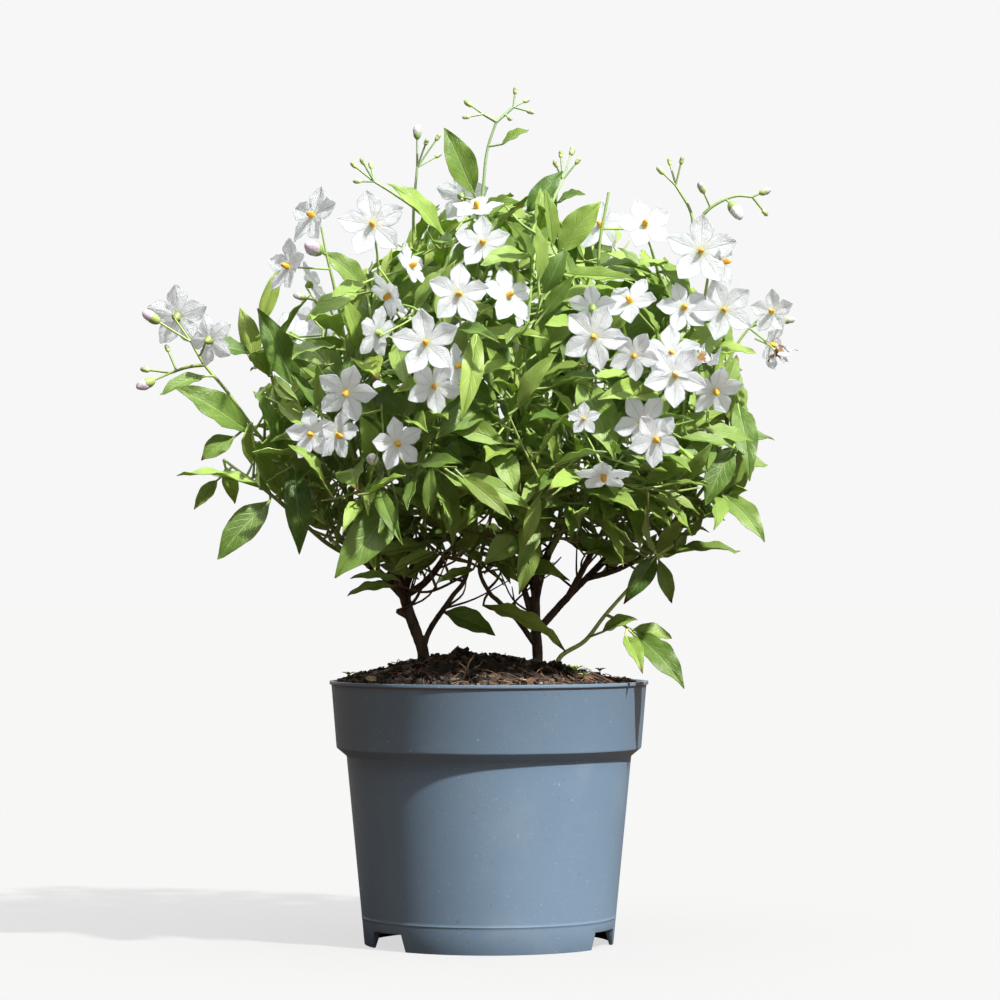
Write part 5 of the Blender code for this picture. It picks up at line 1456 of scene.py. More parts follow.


# Blue-grey plastic: a little dust, fine scratches, specks of soil at the rim and the foot, and a painted
# shade line under the lip.
def potMaterial():
    material, tree, principled = newMaterial("blue-grey pot plastic")
    place = coordinate(tree)
    look = mottled(tree, potLook["colour"], potLook["worn"], 22.0, 420.0, place)
    colour = mixColour(tree, 0.3, potLook["colour"], look["Colour"])
    dusty = useGroup(tree, dustGroup, Base=colour, Dust=potLook["dust"], Amount=0.16, Scale=1.0,
                     Coordinate=place).outputs
    flat = mapped(tree, place, Scale=(30, 30, 1500))
    steep = mapped(tree, place, Rotation=(0.35, 0.5, 0), Scale=(700, 700, 18))
    scratches = mathNode(tree, "ADD", between(tree, noiseOf(tree, flat, 1, 1), 0.7, 0.8),
                         between(tree, noiseOf(tree, steep, 1, 1), 0.74, 0.82), clamp=True)
    scratched = times(tree, scratches, potLook["scratchShare"])
    colour = mixColour(tree, scratched, dusty["Colour"], potLook["dust"])
    height, (lip, underLipShadeReach) = axesOf(tree, place)[2], potLook["underLipShadeLine"]
    ends = mathNode(tree, "ADD", between(tree, height, *potLook["foot"], 1.0, 0.12),
                    between(tree, height, *potLook["rim"], 0.0, 0.8), clamp=True)
    # Painted shade: a thin dark line just under the lip, in the soil-dust brown.
    offUnderLipShade = mathNode(tree, "ABSOLUTE", mathNode(tree, "SUBTRACT", height, lip))
    colour = mixColour(tree, between(tree, offUnderLipShade, 0.0, underLipShadeReach, potLook["underLipShadeShare"], 0.0), colour,
                       potLook["soilDustAndLipShade"])
    soiled = useGroup(tree, dustGroup, Base=colour, Dust=potLook["soilDustAndLipShade"], Amount=0.6, Scale=0.55,
                      Coordinate=place).outputs
    colour = mixColour(tree, times(tree, ends, soiled["Mask"]), colour, soiled["Colour"])
    specks = between(tree, noiseOf(tree, place, 430, 1.5, 0.4), 0.73, 0.76)
    colour = mixColour(tree, times(tree, specks, potLook["speckShare"]), colour, potLook["speck"])
    moved = addNode(tree, "ShaderNodeVectorMath", {"operation": "ADD"}, i0=place, i1=(3, 5, 7)).outputs[0]
    pale = between(tree, noiseOf(tree, moved, 560, 1.0, 0.4), 0.755, 0.79)
    colour = mixColour(tree, times(tree, pale, potLook["speckShare"]), colour, potLook["dust"])
    rough = mathNode(tree, "ADD", between(tree, look["Mask"], 0.2, 0.9, *potLook["roughness"]),
                     times(tree, dusty["Mask"], 0.5), clamp=True)
    relief = mathNode(tree, "SUBTRACT", noiseOf(tree, place, 1600, 2), scratches)
    connect(tree, principled, {"Base Color": colour, "Roughness": rough,
                               "Normal": bump(tree, relief, 0.12, 0.0002)})
    return material


# The rough finishes: name, light and dark colour, patches and grain, roughness, relief and stretch.
roughLooks = {
    "soil": ("potting soil", (0.042, 0.028, 0.019), (0.008, 0.006, 0.005), 120.0, 1500.0, 0.8, 0.0012),
    "clod": ("soil clod", (0.19, 0.135, 0.09), (0.03, 0.02, 0.014), 200.0, 1800.0, 0.85, 0.001),
    "chip": ("bark chip", (0.16, 0.085, 0.045), (0.045, 0.025, 0.016), 260.0, 2200.0, 0.75, 0.0008),
    "fibre": ("coir fibre", (0.32, 0.17, 0.09), (0.12, 0.06, 0.035), 300.0, 2500.0, 0.7, 0.0004),
    "stone": ("pale grit", (0.62, 0.6, 0.55), (0.32, 0.3, 0.27), 300.0, 2600.0, 0.7, 0.0005),
    "fallen": ("fallen petal", (0.6, 0.48, 0.32), (0.33, 0.24, 0.15), 300.0, 1500.0, 0.7, 0.0005),
    "bark": ("brown bark", (0.12, 0.078, 0.05), (0.028, 0.018, 0.012), 300.0, 1300.0, 0.72, 0.0012, 0.3),
    "anther": ("yellow anther", (0.9, 0.5, 0.03), (0.72, 0.3, 0.015), 700.0, 4000.0, 0.5, 0.0002),
    "style": ("pale style", (0.75, 0.78, 0.45), (0.5, 0.6, 0.25), 500.0, 3000.0, 0.5, 0.0002),
    "withered": ("withered brown", (0.3, 0.17, 0.07), (0.12, 0.055, 0.025), 260.0, 2200.0, 0.8, 0.0006),
}


finishes = {
    "leaf": leafMaterial("leaf", 0),
    "leafUnder": leafMaterial("leaf underside", 1),
    "stem": stemMaterial(),
    "petal": petalMaterial("white petal", False),
    "bud": petalMaterial("bud petal", True),
    "pot": potMaterial(),
    **{finish: roughMaterial(*look) for finish, look in roughLooks.items()},
}
print("materials made:", len(finishes))


# Models of what repeats: each is shaped once, flat and one unit long, then copied and bent to its place.


leafModel = {
    "widths": ((0, 0.06), (0.06, 0.25), (0.15, 0.6), (0.27, 0.88), (0.4, 1.0), (0.54, 0.95), (0.68, 0.77),
               (0.8, 0.51), (0.9, 0.26), (0.96, 0.12), (1, 0.02)),
    "wave": 0.026,
    "crease": 0.014,
    "sway": 0.05,
    "tipCurl": 0.08,
}


# A flat grid of faces along +X, one long and one wide, and the places of its rows.
def newGrid(rows, columns):
    deselect()
    bpy.ops.mesh.primitive_grid_add(x_subdivisions=rows, y_subdivisions=columns, size=1, location=(0.5, 0, 0))
    obj = bpy.context.object
    bpy.ops.object.transform_apply(location=True)
    return obj, sorted({round(vert.co.x, 4) for vert in obj.data.vertices})


# One leaf blade along +X: a grid whose rows are narrowed, its midrib sunk and its edges waved.
def makeLeafModel(index, rows, columns):
    chance = random.Random(f"leaf model {index}")
    obj, places = newGrid(rows, columns)
    knots, widths = zip(*leafModel["widths"])
    early = chance.uniform(-0.05, 0.05)
    sway = chance.uniform(-1, 1) * leafModel["sway"]
    for x in places:
        selectWhere(obj, inRow(x))
        width = float(np.interp(min(1, max(0, x + early * math.sin(math.pi * x))), knots, widths))
        bpy.ops.transform.resize(value=(1, width, 1), center_override=(x, 0, 0))
        curl = -leafModel["tipCurl"] * chance.uniform(0.2, 1.2) * max(0, x - 0.6) ** 2 * 4
        bpy.ops.transform.translate(value=(0, sway * math.sin(math.pi * x), curl))
    selectWhere(obj, lambda co: abs(co.y - sway * math.sin(math.pi * co.x)) < 0.004 and 0.01 < co.x < 0.99)
    bpy.ops.transform.translate(value=(0, 0, -leafModel["crease"]))
    for side in (-1, 1):
        phase, crests = chance.uniform(0, math.tau), chance.uniform(2.2, 3.6)
        for x in places[1:-1]:
            reach, middle = 0.4 * float(np.interp(x, knots, widths)), sway * math.sin(math.pi * x)
            if selectWhere(obj, lambda co: inRow(x)(co) and side * (co.y - middle) > reach):
                lift = leafModel["wave"] * math.sin(phase + crests * math.tau * x) * chance.uniform(0.8, 1.1)
                bpy.ops.transform.translate(value=(0, 0, lift))
    makeActive(obj)
    obj.data.materials.append(finishes["leaf"])
    obj.data.materials.append(finishes["leafUnder"])
    return obj


# Where the model's points go on a planned leaf.
def bentTo(leaf):
    base, width = np.array(leaf["base"]), leaf["width"]
    length = (leaf["tip"] - leaf["base"]).length
    axis, side, normal = (np.array(way) for way in leafFrame(leaf))

    def place(points):
        x, y, z = points[:, :1], -points[:, 1:2], points[:, 2:]
        raised = (leaf["arch"] * 4 * x * (1 - x) + z) * length + np.abs(y) * width * math.sin(leaf["fold"])
        height = raised + 2 * y * leaf["twist"] * width
        return mm * (base + x * axis + y * width * math.cos(leaf["fold"]) * side + height * normal)

    return place


petalModel = {
    "widths": ((0.34, 0.247), (0.44, 0.3), (0.54, 0.335), (0.64, 0.33), (0.74, 0.28), (0.84, 0.19),
               (0.92, 0.1), (1, 0.025)),
    "notch": 0.34,
    "rows": 10,
    "columns": 6,
    "crease": 0.022,
    "rise": 0.07,
    "crinkle": 0.042,
    "thickness": 0.3,
    "kinds": 5,
}


# One petal along +X, which meets its neighbours up to the notch: creased, with crinkled edges.
def makePetalModel(index):
    chance = random.Random(f"petal model {index}")
    obj, places = newGrid(petalModel["rows"], petalModel["columns"])
    knots, widths = zip(*petalModel["widths"])
    for x in places:
        free = x > petalModel["notch"]
        half = float(np.interp(x, knots, widths)) if free else x * math.tan(math.radians(36))
        half *= chance.uniform(0.93, 1.07) if free else 1
        selectWhere(obj, inRow(x))
        bpy.ops.transform.resize(value=(1, half * 2, 1), center_override=(x, 0, 0))
        for side in (-1, 1):
            if free and selectWhere(obj, lambda co: inRow(x)(co) and side * co.y > half * 0.8):
                rise = petalModel["rise"] * math.sin(math.pi * min(1, (x - petalModel["notch"]) / 0.7))
                crinkle = petalModel["crinkle"] * chance.uniform(-1, 1) * min(1, (1.02 - x) * 4)
                bpy.ops.transform.translate(value=(crinkle * 0.5, 0, rise + crinkle))
            if free and selectWhere(obj, lambda co: inRow(x)(co) and half * 0.5 < side * co.y < half * 0.8):
                rise = petalModel["rise"] * 0.55 + 0.01 * chance.uniform(-1, 1)
                bpy.ops.transform.translate(value=(0, 0, rise))
    selectWhere(obj, lambda co: abs(co.y) < 0.003 and 0.12 < co.x < 0.85)
    bpy.ops.transform.translate(value=(0, 0, -petalModel["crease"]))
    makeActive(obj)
    obj.data.materials.append(finishes["petal"])
    return obj


# An upright ring of corners, extruded through (radius, height) steps and closed at both ends.
def makeTurned(name, profile, sides, finish):
    deselect()
    radius, height = profile[0]
    bpy.ops.mesh.primitive_circle_add(vertices=sides, radius=radius * mm, fill_type="TRIFAN",
                                      location=(0, 0, height * mm))
    obj = bpy.context.object
    obj.name = obj.data.name = name
    bpy.ops.object.transform_apply(location=True)
    selectWhere(obj, lambda co: math.hypot(co.x, co.y) > radius * mm * 0.9)
    for wide, high in profile[1:]:
        bpy.ops.mesh.extrude_region_move(TRANSFORM_OT_translate={"value": (0, 0, (high - height) * mm)})
        bpy.ops.transform.resize(value=(wide / radius, wide / radius, 1), center_override=(0, 0, 0))
        radius, height = wide, high
    bpy.ops.mesh.extrude_region_move()
    bpy.ops.mesh.merge(type="CENTER")
    bpy.ops.mesh.select_all(action="SELECT")
    bpy.ops.mesh.normals_make_consistent(inside=False)
    makeActive(obj)
    obj.data.materials.append(finish)
    return obj


# Turns a model that stands on +Z, one unit to the millimetre, so that +Z points along way at spot.
def stoodAt(spot, way, size=1.0, turn=0.0):
    side = across(way, turn)
    frameOf = np.array([side, way.normalized().cross(side), way.normalized()])
    return lambda points: np.array(spot) * mm + points @ frameOf * size


calyxSteps = ((0.62, -3.4), (1.0, -2.9), (1.65, -2.2), (2.0, -1.2), (2.15, -0.5))


# The green cup behind a bloom, its rim drawn out into five points.
def makeCalyxModel():
    obj = makeTurned("calyx", calyxSteps, 10, finishes["stem"])
    selectWhere(obj, lambda co: onSpokesAbove(-0.9)(co) and math.hypot(co.x, co.y) > 1.5 * mm)
    bpy.ops.transform.resize(value=(1.4, 1.4, 1), center_override=(0, 0, 0))
    bpy.ops.transform.translate(value=(0, 0, 0.35 * mm))
    makeActive(obj)
    return obj


budSteps = ((0.06, -0.48), (0.14, -0.42), (0.2, -0.32), (0.25, -0.18), (0.29, -0.02), (0.3, 0.12),
            (0.26, 0.29), (0.16, 0.43), (0.05, 0.5))
budCupSteps = ((0.1, -0.52), (0.18, -0.44), (0.24, -0.32), (0.27, -0.2), (0.275, -0.13))


# A closed bud, one long: a smooth drop with five shallow furrows, in a cup with five points.
def makeBudModel():
    obj = makeTurned("bud", budSteps, 10, finishes["bud"])
    selectWhere(obj, onSpokesAbove(-0.15))
    bpy.ops.transform.resize(value=(0.86, 0.86, 1), center_override=(0, 0, 0))
    cup = makeTurned("bud cup", budCupSteps, 10, finishes["stem"])
    selectWhere(cup, onSpokesAbove(-0.16))
    bpy.ops.transform.translate(value=(0, 0, 0.09 * mm))
    return joined("bud", [obj, cup])


coneSteps = ((1.0, 0.0), (1.55, 0.4), (1.7, 1.8), (1.55, 3.3), (1.15, 4.3), (0.55, 4.7))
styleSteps = ((0.2, 4.0), (0.17, 5.4), (0.26, 5.7), (0.25, 5.9))


# Five anthers side by side in a cone, with the style standing out of it.
def makeAntherModel():
    cone = makeTurned("cone", coneSteps, 10, finishes["anther"])
    selectWhere(cone, onSpokesAbove(0.2))
    bpy.ops.transform.resize(value=(0.8, 0.8, 1), center_override=(0, 0, 0))
    style = makeTurned("style", styleSteps, 5, finishes["style"])
    return joined("anther", [cone, style])


potShape = {
    "sides": 128,
    "line": 14.4,  # a fine raised line round the wall, above the foot
    "ridge": 0.16,
    "edge": 0.3,
    "edgeAngle": 32,
}


def makePot():
    wall, line, ridge = potSizes["wall"], potShape["line"], potShape["ridge"]
    height, lip, foot = potSizes["height"], potSizes["lipRadius"], potSizes["footRadius"]
    step, stepRadius = potSizes["stepBottom"], potSizes["wallTopRadius"]
    band, bandRadius = potSizes["bandBottom"], potSizes["bandBottomRadius"]
    pad, under, floorOuter = potSizes["padRadius"], potSizes["floorRaise"], potSizes["floorOuter"]
    slope, lipFoot = (stepRadius - foot) / step, height - potSizes["lipThickness"]

    def outer(z):
        return foot + slope * z

    profile = (
        (2, 0), (pad, 0), (pad + 4, under), (floorOuter - 0.6, under), (foot - wall, 0.0), (foot, 0.0),
        (outer(line - 1.6), line - 1.6), (outer(line - 0.5), line - 0.5),
        (outer(line) + ridge, line - 0.2), (outer(line) + ridge, line + 0.2),
        (outer(line + 0.5), line + 0.5), (outer(line + 1.6), line + 1.6),
        (outer(step - 1.5), step - 1.5), (stepRadius, step), (bandRadius - 1, band - 1.4),
        (bandRadius - 0.25, band - 0.8), (bandRadius, band), (potSizes["bandTopRadius"], lipFoot - 0.4),
        (lip, lipFoot), (lip, height), (lip - 2.0, height), (bandRadius - wall, band),
        (stepRadius - wall, step - 0.4), (floorOuter, under + wall), (pad + 3.2, under + wall),
        (pad - 1, wall), (2, wall),
    )
    pot = makeTurned("pot_shell", profile, potShape["sides"], finishes["pot"])
    for degrees in potSizes["notchAngles"]:
        angle = math.radians(degrees)
        deselect()
        bpy.ops.mesh.primitive_cube_add(size=1)
        cutter = bpy.context.object
        cutter.dimensions = [potSizes["notchDepth"] * mm, potSizes["notchWidth"] * mm,
                             potSizes["notchHeight"] * 2 * mm]
        bpy.ops.object.transform_apply(scale=True)
        selectWhere(cutter, lambda co: co.z > 0)
        bpy.ops.transform.resize(value=(1, potSizes["notchTopShare"], 1), center_override=(0, 0, 0))
        bpy.ops.object.mode_set(mode="OBJECT")
        cutter.rotation_euler.z = angle
        cutter.location = (math.cos(angle) * potSizes["notchRadius"] * mm,
                           math.sin(angle) * potSizes["notchRadius"] * mm, 0)
        bpy.context.view_layer.update()
        applyModifier(pot, "BOOLEAN", operation="DIFFERENCE", object=cutter, solver="EXACT")
        bpy.data.objects.remove(cutter)
    applyModifier(pot, "BEVEL", width=potShape["edge"] * mm, segments=2, limit_method="ANGLE",
                  angle_limit=math.radians(potShape["edgeAngle"]))
    return settle(pot, 35, "pot", "pot")


makePot()
print("pot made")


soilLook = {
    "rings": 34,
    "sides": 128,
    "relief": 2.2,
    "lumps": 1.5,
    "clearOfRim": 2.5,
    "frontShare": 0.45,
    "frontReach": (0.72, 1.0),
    "pieces": (  # kind, how many, sizes, and how deep each is sunk
        ("crumb", 1000, (0.7, 3.0), 0.3), ("clod", 260, (0.8, 3.0), 0.45),
        ("chip", 130, (1.0, 3.4), 0.4), ("stone", 60, (0.5, 1.8), 0.5),
    ),
    "models": {"crumb": (3, (1, 0.8, 0.65), "soil"), "clod": (4, (1, 0.85, 0.8), "clod"),
               "chip": (3, (1.7, 0.75, 0.35), "chip"), "stone": (2, (1, 0.85, 0.8), "stone")},
    "heaps": (  # x, y, reach, height, how many
        (-15, -22, 10, 7.0, 80), (34, -24, 15, 4.5, 100), (-70, -24, 10, 3.5, 50),
        (-52, -54, 10, 3.0, 45), (60, -46, 10, 2.5, 40), (-30, -60, 9, 2.5, 30), (4, -68, 9, 2.5, 30),
        (-74, -8, 9, 3.0, 60), (-62, -36, 10, 3.0, 60),
    ),
    "heapSizes": (1.0, 2.8),
    "fibres": 190,
    "fibreLength": (5, 20),
    "fibreRadius": (0.14, 0.3),
    "fibreLift": (-0.3, 3.2),
    "sticks": (
        ((-38, -28, 142), (-28, -30, 147), (-17, -32, 156)),
        ((-9, -58, 140), (-11, -58, 148), (-7, -56, 155)),
        ((-14, -60, 140), (-12, -60, 147), (-16, -60, 151)),
        ((66, -38, 139), (60, -44, 142), (52, -48, 146)),
    ),
    "stickRadius": 0.6,
}


def makeSoil():
    floor = potSizes["floorRaise"] + potSizes["wall"] + gap
    edge, count = soilSizes["radius"], soilLook["rings"]
    profile = [(2, floor), (potSizes["floorOuter"] - gap, floor),
               (potSizes["wallTopRadius"] - potSizes["wall"] - gap - 0.1, potSizes["stepBottom"] - 0.6),
               (potSizes["bandBottomRadius"] - potSizes["wall"] - gap - 0.2, potSizes["bandBottom"]),
               (edge, soilSizes["edge"])]
    profile += [(edge * (1 - (i + 1) / count) + 0.8, soilSizes["edge"]) for i in range(count)]
    soil = makeTurned("soil_bed", profile, soilLook["sides"], finishes["soil"])
    for vert in soil.data.vertices:
        if vert.co.z > (potSizes["bandBottom"] + 1) * mm:
            x, y = vert.co.x / mm, vert.co.y / mm
            fade = max(0, min(1, (edge - math.hypot(x, y)) / 3))
            relief = noise.fractal(Vector((x, y, 0)) * 0.14, 1.0, 2.0, 4) * soilLook["relief"] * fade
            relief += noise.noise(Vector((x, y, 9)) * 0.4) * soilLook["lumps"] * fade
            vert.co.z = (soilHeight(x, y) + relief) * mm
    return settle(soil, 60, "soil", "soil")


# A lump with few faces: an icosphere pressed flat, its corners pulled about.
def makeLumpModel(name, flat, finish):
    chance = random.Random(name)
    deselect()
    bpy.ops.mesh.primitive_ico_sphere_add(subdivisions=1, radius=mm)
    obj = bpy.context.object
    obj.name = obj.data.name = name
    bpy.ops.object.mode_set(mode="EDIT")
    bpy.ops.transform.resize(value=flat, center_override=(0, 0, 0))
    for index in range(len(obj.data.vertices)):
        corner = obj.data.vertices[index].co.copy()
        selectWhere(obj, lambda co, corner=corner: (co - corner).length < 0.00001)
        bpy.ops.transform.translate(value=[chance.uniform(-0.28, 0.28) * mm * share for share in flat])
    makeActive(obj)
    obj.data.materials.append(finish)
    return obj


# Crumbs, bark chips, grit, fibres and sticks that lie on the soil.
def makeLitter():
    chance = random.Random("litter")
    models = {kind: [makeLumpModel(f"{kind} {i}", flat, finishes[finish]) for i in range(count)]
              for kind, (count, flat, finish) in soilLook["models"].items()}
    edge = soilSizes["radius"] - soilLook["clearOfRim"]

    def onSoil(reach=1.0):
        radius, turn = edge * math.sqrt(chance.random()) * reach, chance.uniform(0, math.tau)
        if chance.random() < soilLook["frontShare"]:
            radius = edge * chance.uniform(*soilLook["frontReach"]) * reach
            turn = math.radians(chance.uniform(-185, 5))
        x, y = radius * math.cos(turn), radius * math.sin(turn)
        return Vector((x, y, soilHeight(x, y)))

    made = []
    for kind, count, (least, most), sink in soilLook["pieces"]:
        for _ in range(count):
            spot = onSoil()
            size = least + (most - least) * chance.random() ** 2.2
            tilt = (skyward + Vector((chance.uniform(-1, 1), chance.uniform(-1, 1), 0)) * 0.5).normalized()
            model = chance.choice(models[kind])
            place = stoodAt(spot + skyward * size * sink, tilt, size, chance.uniform(0, math.tau))
            made.append(copyOf(model, f"{kind} piece", place))
    for x, y, reach, height, count in soilLook["heaps"]:
        for _ in range(count):
            away, turn = reach * math.sqrt(chance.random()), chance.uniform(0, math.tau)
            spot = Vector((x + away * math.cos(turn), y + away * math.sin(turn), 0))
            if math.hypot(spot.x, spot.y) > edge:
                continue
            spot.z = soilHeight(spot.x, spot.y) + height * (1 - (away / reach) ** 1.5) * chance.random()
            size = chance.uniform(*soilLook["heapSizes"])
            model = chance.choice(models[chance.choice(("crumb", "crumb", "clod"))])
            place = stoodAt(spot, across(skyward, turn) + skyward, size, turn)
            made.append(copyOf(model, "heap piece", place))
    lines = []
    for _ in range(soilLook["fibres"]):
        spot, turn = onSoil(0.97), chance.uniform(0, math.tau)
        length = chance.uniform(*soilLook["fibreLength"])
        ahead = Vector((math.cos(turn), math.sin(turn), 0))
        knots = []
        for k in range(4):
            aside = Vector((chance.uniform(-1, 1), chance.uniform(-1, 1), 0)) * length * 0.08
            place = spot + ahead * length * (k / 3 - 0.5) + aside
            reach = math.hypot(place.x, place.y)
            if reach > soilSizes["radius"] - 1:
                place *= (soilSizes["radius"] - 1) / reach
            place.z = soilHeight(place.x, place.y) + chance.uniform(*soilLook["fibreLift"])
            knots.append(place)
        line = smoothLine(knots, 3)
        lines.append((line, [chance.uniform(*soilLook["fibreRadius"])] * len(line)))
    fibres = tubes("fibres", lines, 4, finishes["fibre"])
    lines = []
    for knots in soilLook["sticks"]:
        line = smoothLine([Vector(knot) for knot in knots], 4)
        lines.append((line, tapered(soilLook["stickRadius"], len(line), 1.3, 0.8)))
    sticks = tubes("sticks", lines, 6, finishes["chip"])
    litter = joined("soil_litter", [fibres, sticks] + made)
    dropModels(*[model for group in models.values() for model in group])
    return settle(litter, 50, "soil", "soil")


makeSoil()
makeLitter()
print("soil made")


woodLook = {
    "sides": 12,
    "voxel": 0.5,
    "relief": 0.16,
    "twigs": 3,
    "twigLength": (16, 42),
    "twigRadius": 0.62,
    "lowestTwig": 168,
    "twigBend": 0.12,
    "twigRise": 0.15,
    "uneven": 0.07,
    "barkStretch": 0.35,
}


# Bare little twigs on the upper half of each branch, which show under the leaves.
def bareTwigs(tree):
    chance = random.Random(tree + " twigs")
    lines = []
    for knots in woodBranches[tree].values():
        line = smoothLine([Vector(knot[:3]) for knot in knots])
        for _ in range(woodLook["twigs"]):
            spot = line[chance.randrange(len(line) // 3, len(line))]
            if spot.z < woodLook["lowestTwig"]:
                continue
            sideways = Vector((chance.gauss(0, 1), chance.gauss(0, 1), 0)).normalized()
            way = (sideways + skyward * chance.uniform(0.2, 1.2)).normalized()
            length = chance.uniform(*woodLook["twigLength"])
            bent = across(way, chance.uniform(0, math.tau)) * length * woodLook["twigBend"]
            end = spot + way * length + skyward * length * woodLook["twigRise"]
            twig = smoothLine([spot, spot + way * length * 0.5 + bent, end], 4)
            lines.append((twig, tapered(woodLook["twigRadius"], len(twig), 1.2, 0.8)))
    return tubes("bare twigs", lines, 6)


# A woody stem: its branches as tubes, grown together by a remesh, with bark relief.
def makeWood(tree):
    lines = []
    for knots in woodBranches[tree].values():
        line = smoothLine([Vector(knot[:3]) for knot in knots])
        radii = [radius * (1 + woodLook["uneven"] * noise.noise(place * 0.35))
                 for place, radius in zip(line, spread([knot[3] for knot in knots], len(line)))]
        lines.append((line, radii))
    wood = tubes(tree + "_bark", lines, woodLook["sides"])
    applyModifier(wood, "REMESH", mode="VOXEL", voxel_size=woodLook["voxel"] * mm)
    applyModifier(wood, "SMOOTH", factor=0.5, iterations=3)
    for vert, normal in zip(wood.data.vertices, [vert.normal.copy() for vert in wood.data.vertices]):
        place = Vector((vert.co.x, vert.co.y, vert.co.z * woodLook["barkStretch"])) / mm
        vert.co += normal * noise.fractal(place * 0.7, 1.0, 2.0, 3) * woodLook["relief"] * mm
    wood = joined(tree + "_bark", [wood, bareTwigs(tree)])
    wood.data.materials.append(finishes["bark"])
    return settle(wood, 70, "bark", tree)


for tree in woodBranches:
    makeWood(tree)
print("wood made")

plan = makePlan()
planned = len(plan.leaves)
planTwigs(plan)
planExtraLeaves(plan)
print("leaves planned:", planned, "and", len(plan.leaves) - planned, "more")


stemShape = {
    "sides": 8,
    "thinSides": 6,
    "intoWood": 4.0,
    "ripeTop": 262.0,
    "ripeFoot": 190.0,
    "ripeShare": 0.5,
    "brownShoots": ("shoot_middle", "shoot_low_front"),
    # How much the sucker's stems are painted yellow-green, partly young colour and partly painted sunlight.
    "suckerFreshAndPaintedSun": 0.8,
    "taper": 0.3,
    "uneven": 0.08,
    "stalkShare": 0.85,
}


def nearestOf(samples, place):
    return min(samples, key=lambda sample: (sample - place).length_squared)


# The leaf's petiole, which runs on under the blade as its midrib.
def petioleLine(leaf, root):
    axis, _, normal = leafFrame(leaf)
    knots, radii = [root], [foliage["petioleRadius"] * 1.25]
    for reach in (0.0, 0.2, 0.42, foliage["midribReach"]):
        arch = leaf["arch"] * axis.length * 4 * reach * (1 - reach)
        sunk = axis.length * leafModel["crease"] * (reach > 0) + foliage["midribDrop"]
        knots.append(leaf["base"] + axis * reach + normal * (arch - sunk))
        radii.append(foliage["petioleRadius"] * (1 - reach * 1.3))
    line = smoothLine(knots, 2)
    return line, spread(radii, len(line))


# The shoot's stems, petioles, stalks and calyces.
def makeStems(shoot, calyx):
    samples, lines, thin, cups = [], [], [], []
    wood = woodEnd(shoot)
    for index, (knots, radii) in enumerate(plan.stems[shoot]):
        line = smoothLine(knots, 6)
        samples += line
        radii = spread(radii, len(line))
        if index == 0 and wood:
            end, way = wood
            line, radii = [end - way * stemShape["intoWood"]] + line, [radii[0]] + radii
        for k, place in enumerate(line):
            radii[k] *= 1 + stemShape["uneven"] * noise.noise(place * 0.25)
            radii[k] *= 1 - stemShape["taper"] * (k / len(line)) ** 2
        lines.append((line, radii))
    for leaf in plan.leaves:
        if leaf["shoot"] == shoot:
            thin.append(petioleLine(leaf, nearestOf(samples, leaf["root"])))
    for owner, kind, line, size, way in plan.stalks:
        if owner != shoot:
            continue
        head = line[0] + (way * (growth["calyxLength"] - 0.4) if kind == "bloom" else way * size * 0.42)
        stalk = smoothLine([head] + line[1:-1] + [nearestOf(samples, line[-1])], 4)
        radius = growth["stalkRadius"] * stemShape["stalkShare"]
        thin.append((stalk, tapered(radius, len(stalk), 0.92, -0.25)))
        if kind == "bloom":
            cups.append(copyOf(calyx, "calyx piece", stoodAt(line[0], -way, 1.0, len(cups) * 1.7)))
    stems = tubes("stems", lines, stemShape["sides"], finishes["stem"])
    thinStems = tubes("thin stems", thin, stemShape["thinSides"], finishes["stem"])
    piece = joined("stems_" + shoot.removeprefix("shoot_"), [stems, thinStems] + cups)
    heights = np.array([vert.co.z / mm for vert in piece.data.vertices])
    ripe = (stemShape["ripeTop"] - heights) / (stemShape["ripeTop"] - stemShape["ripeFoot"])
    ripe = np.clip(ripe * (1.0 if shoot in stemShape["brownShoots"] else stemShape["ripeShare"]), 0, 1)
    # The sucker's stems get the yellow-green: partly their young colour, partly painted sunlight where the
    # crown shades them.
    sucker = shoot == "shoot_sucker"
    paint(piece, [(0, stemShape["suckerFreshAndPaintedSun"] * sucker, share * (not sucker)) for share in ripe])
    return settle(piece, 80, "foliage", shoot)


# Brightness, yellow and brown of leaves that stand out, by the place of their tips (x, z).
leafTones = {
    (-97, 207): (0.0, 0, 0), (-139, 204): (0.0, 0.1, 0), (-162, 294): (0.14, 0.05, 0),
    (-158, 231): (0.15, 0.05, 0), (136, 246): (0.22, 0, 0), (143, 214): (0.42, 0, 0),
    (41, 158): (0.6, 0.85, 1), (4, 164): (0.1, 0, 0), (-77, 195): (0.26, 0, 0),
    (-13, 273): (0.85, 0.12, 0), (64, 255): (0.6, 0, 0), (-23, 431): (0.3, 0, 0),
    (95, 240): (0.3, 0, 0), (112, 232): (0.12, 0, 0), (-120, 291): (0.3, 0, 0),
    (102, 138): (0.12, 0.05, 0), (132, 209): (0.3, 0.05, 0), (-121, 336): (0.1, 0, 0),
    (152, 269): (0.22, 0, 0),
}


# The tones of the other leaves: the middle and spread of each draw, and the chance of more.
leafDraws = {
    "bright": (0.56, 0.3),
    "brighterUp": 0.04,
    "upFrom": 200,
    "upReach": 240,
    "yellow": (-0.08, 0.2),
    "yellowing": (0.03, 0.35),
    "brownTips": 0.08,
}


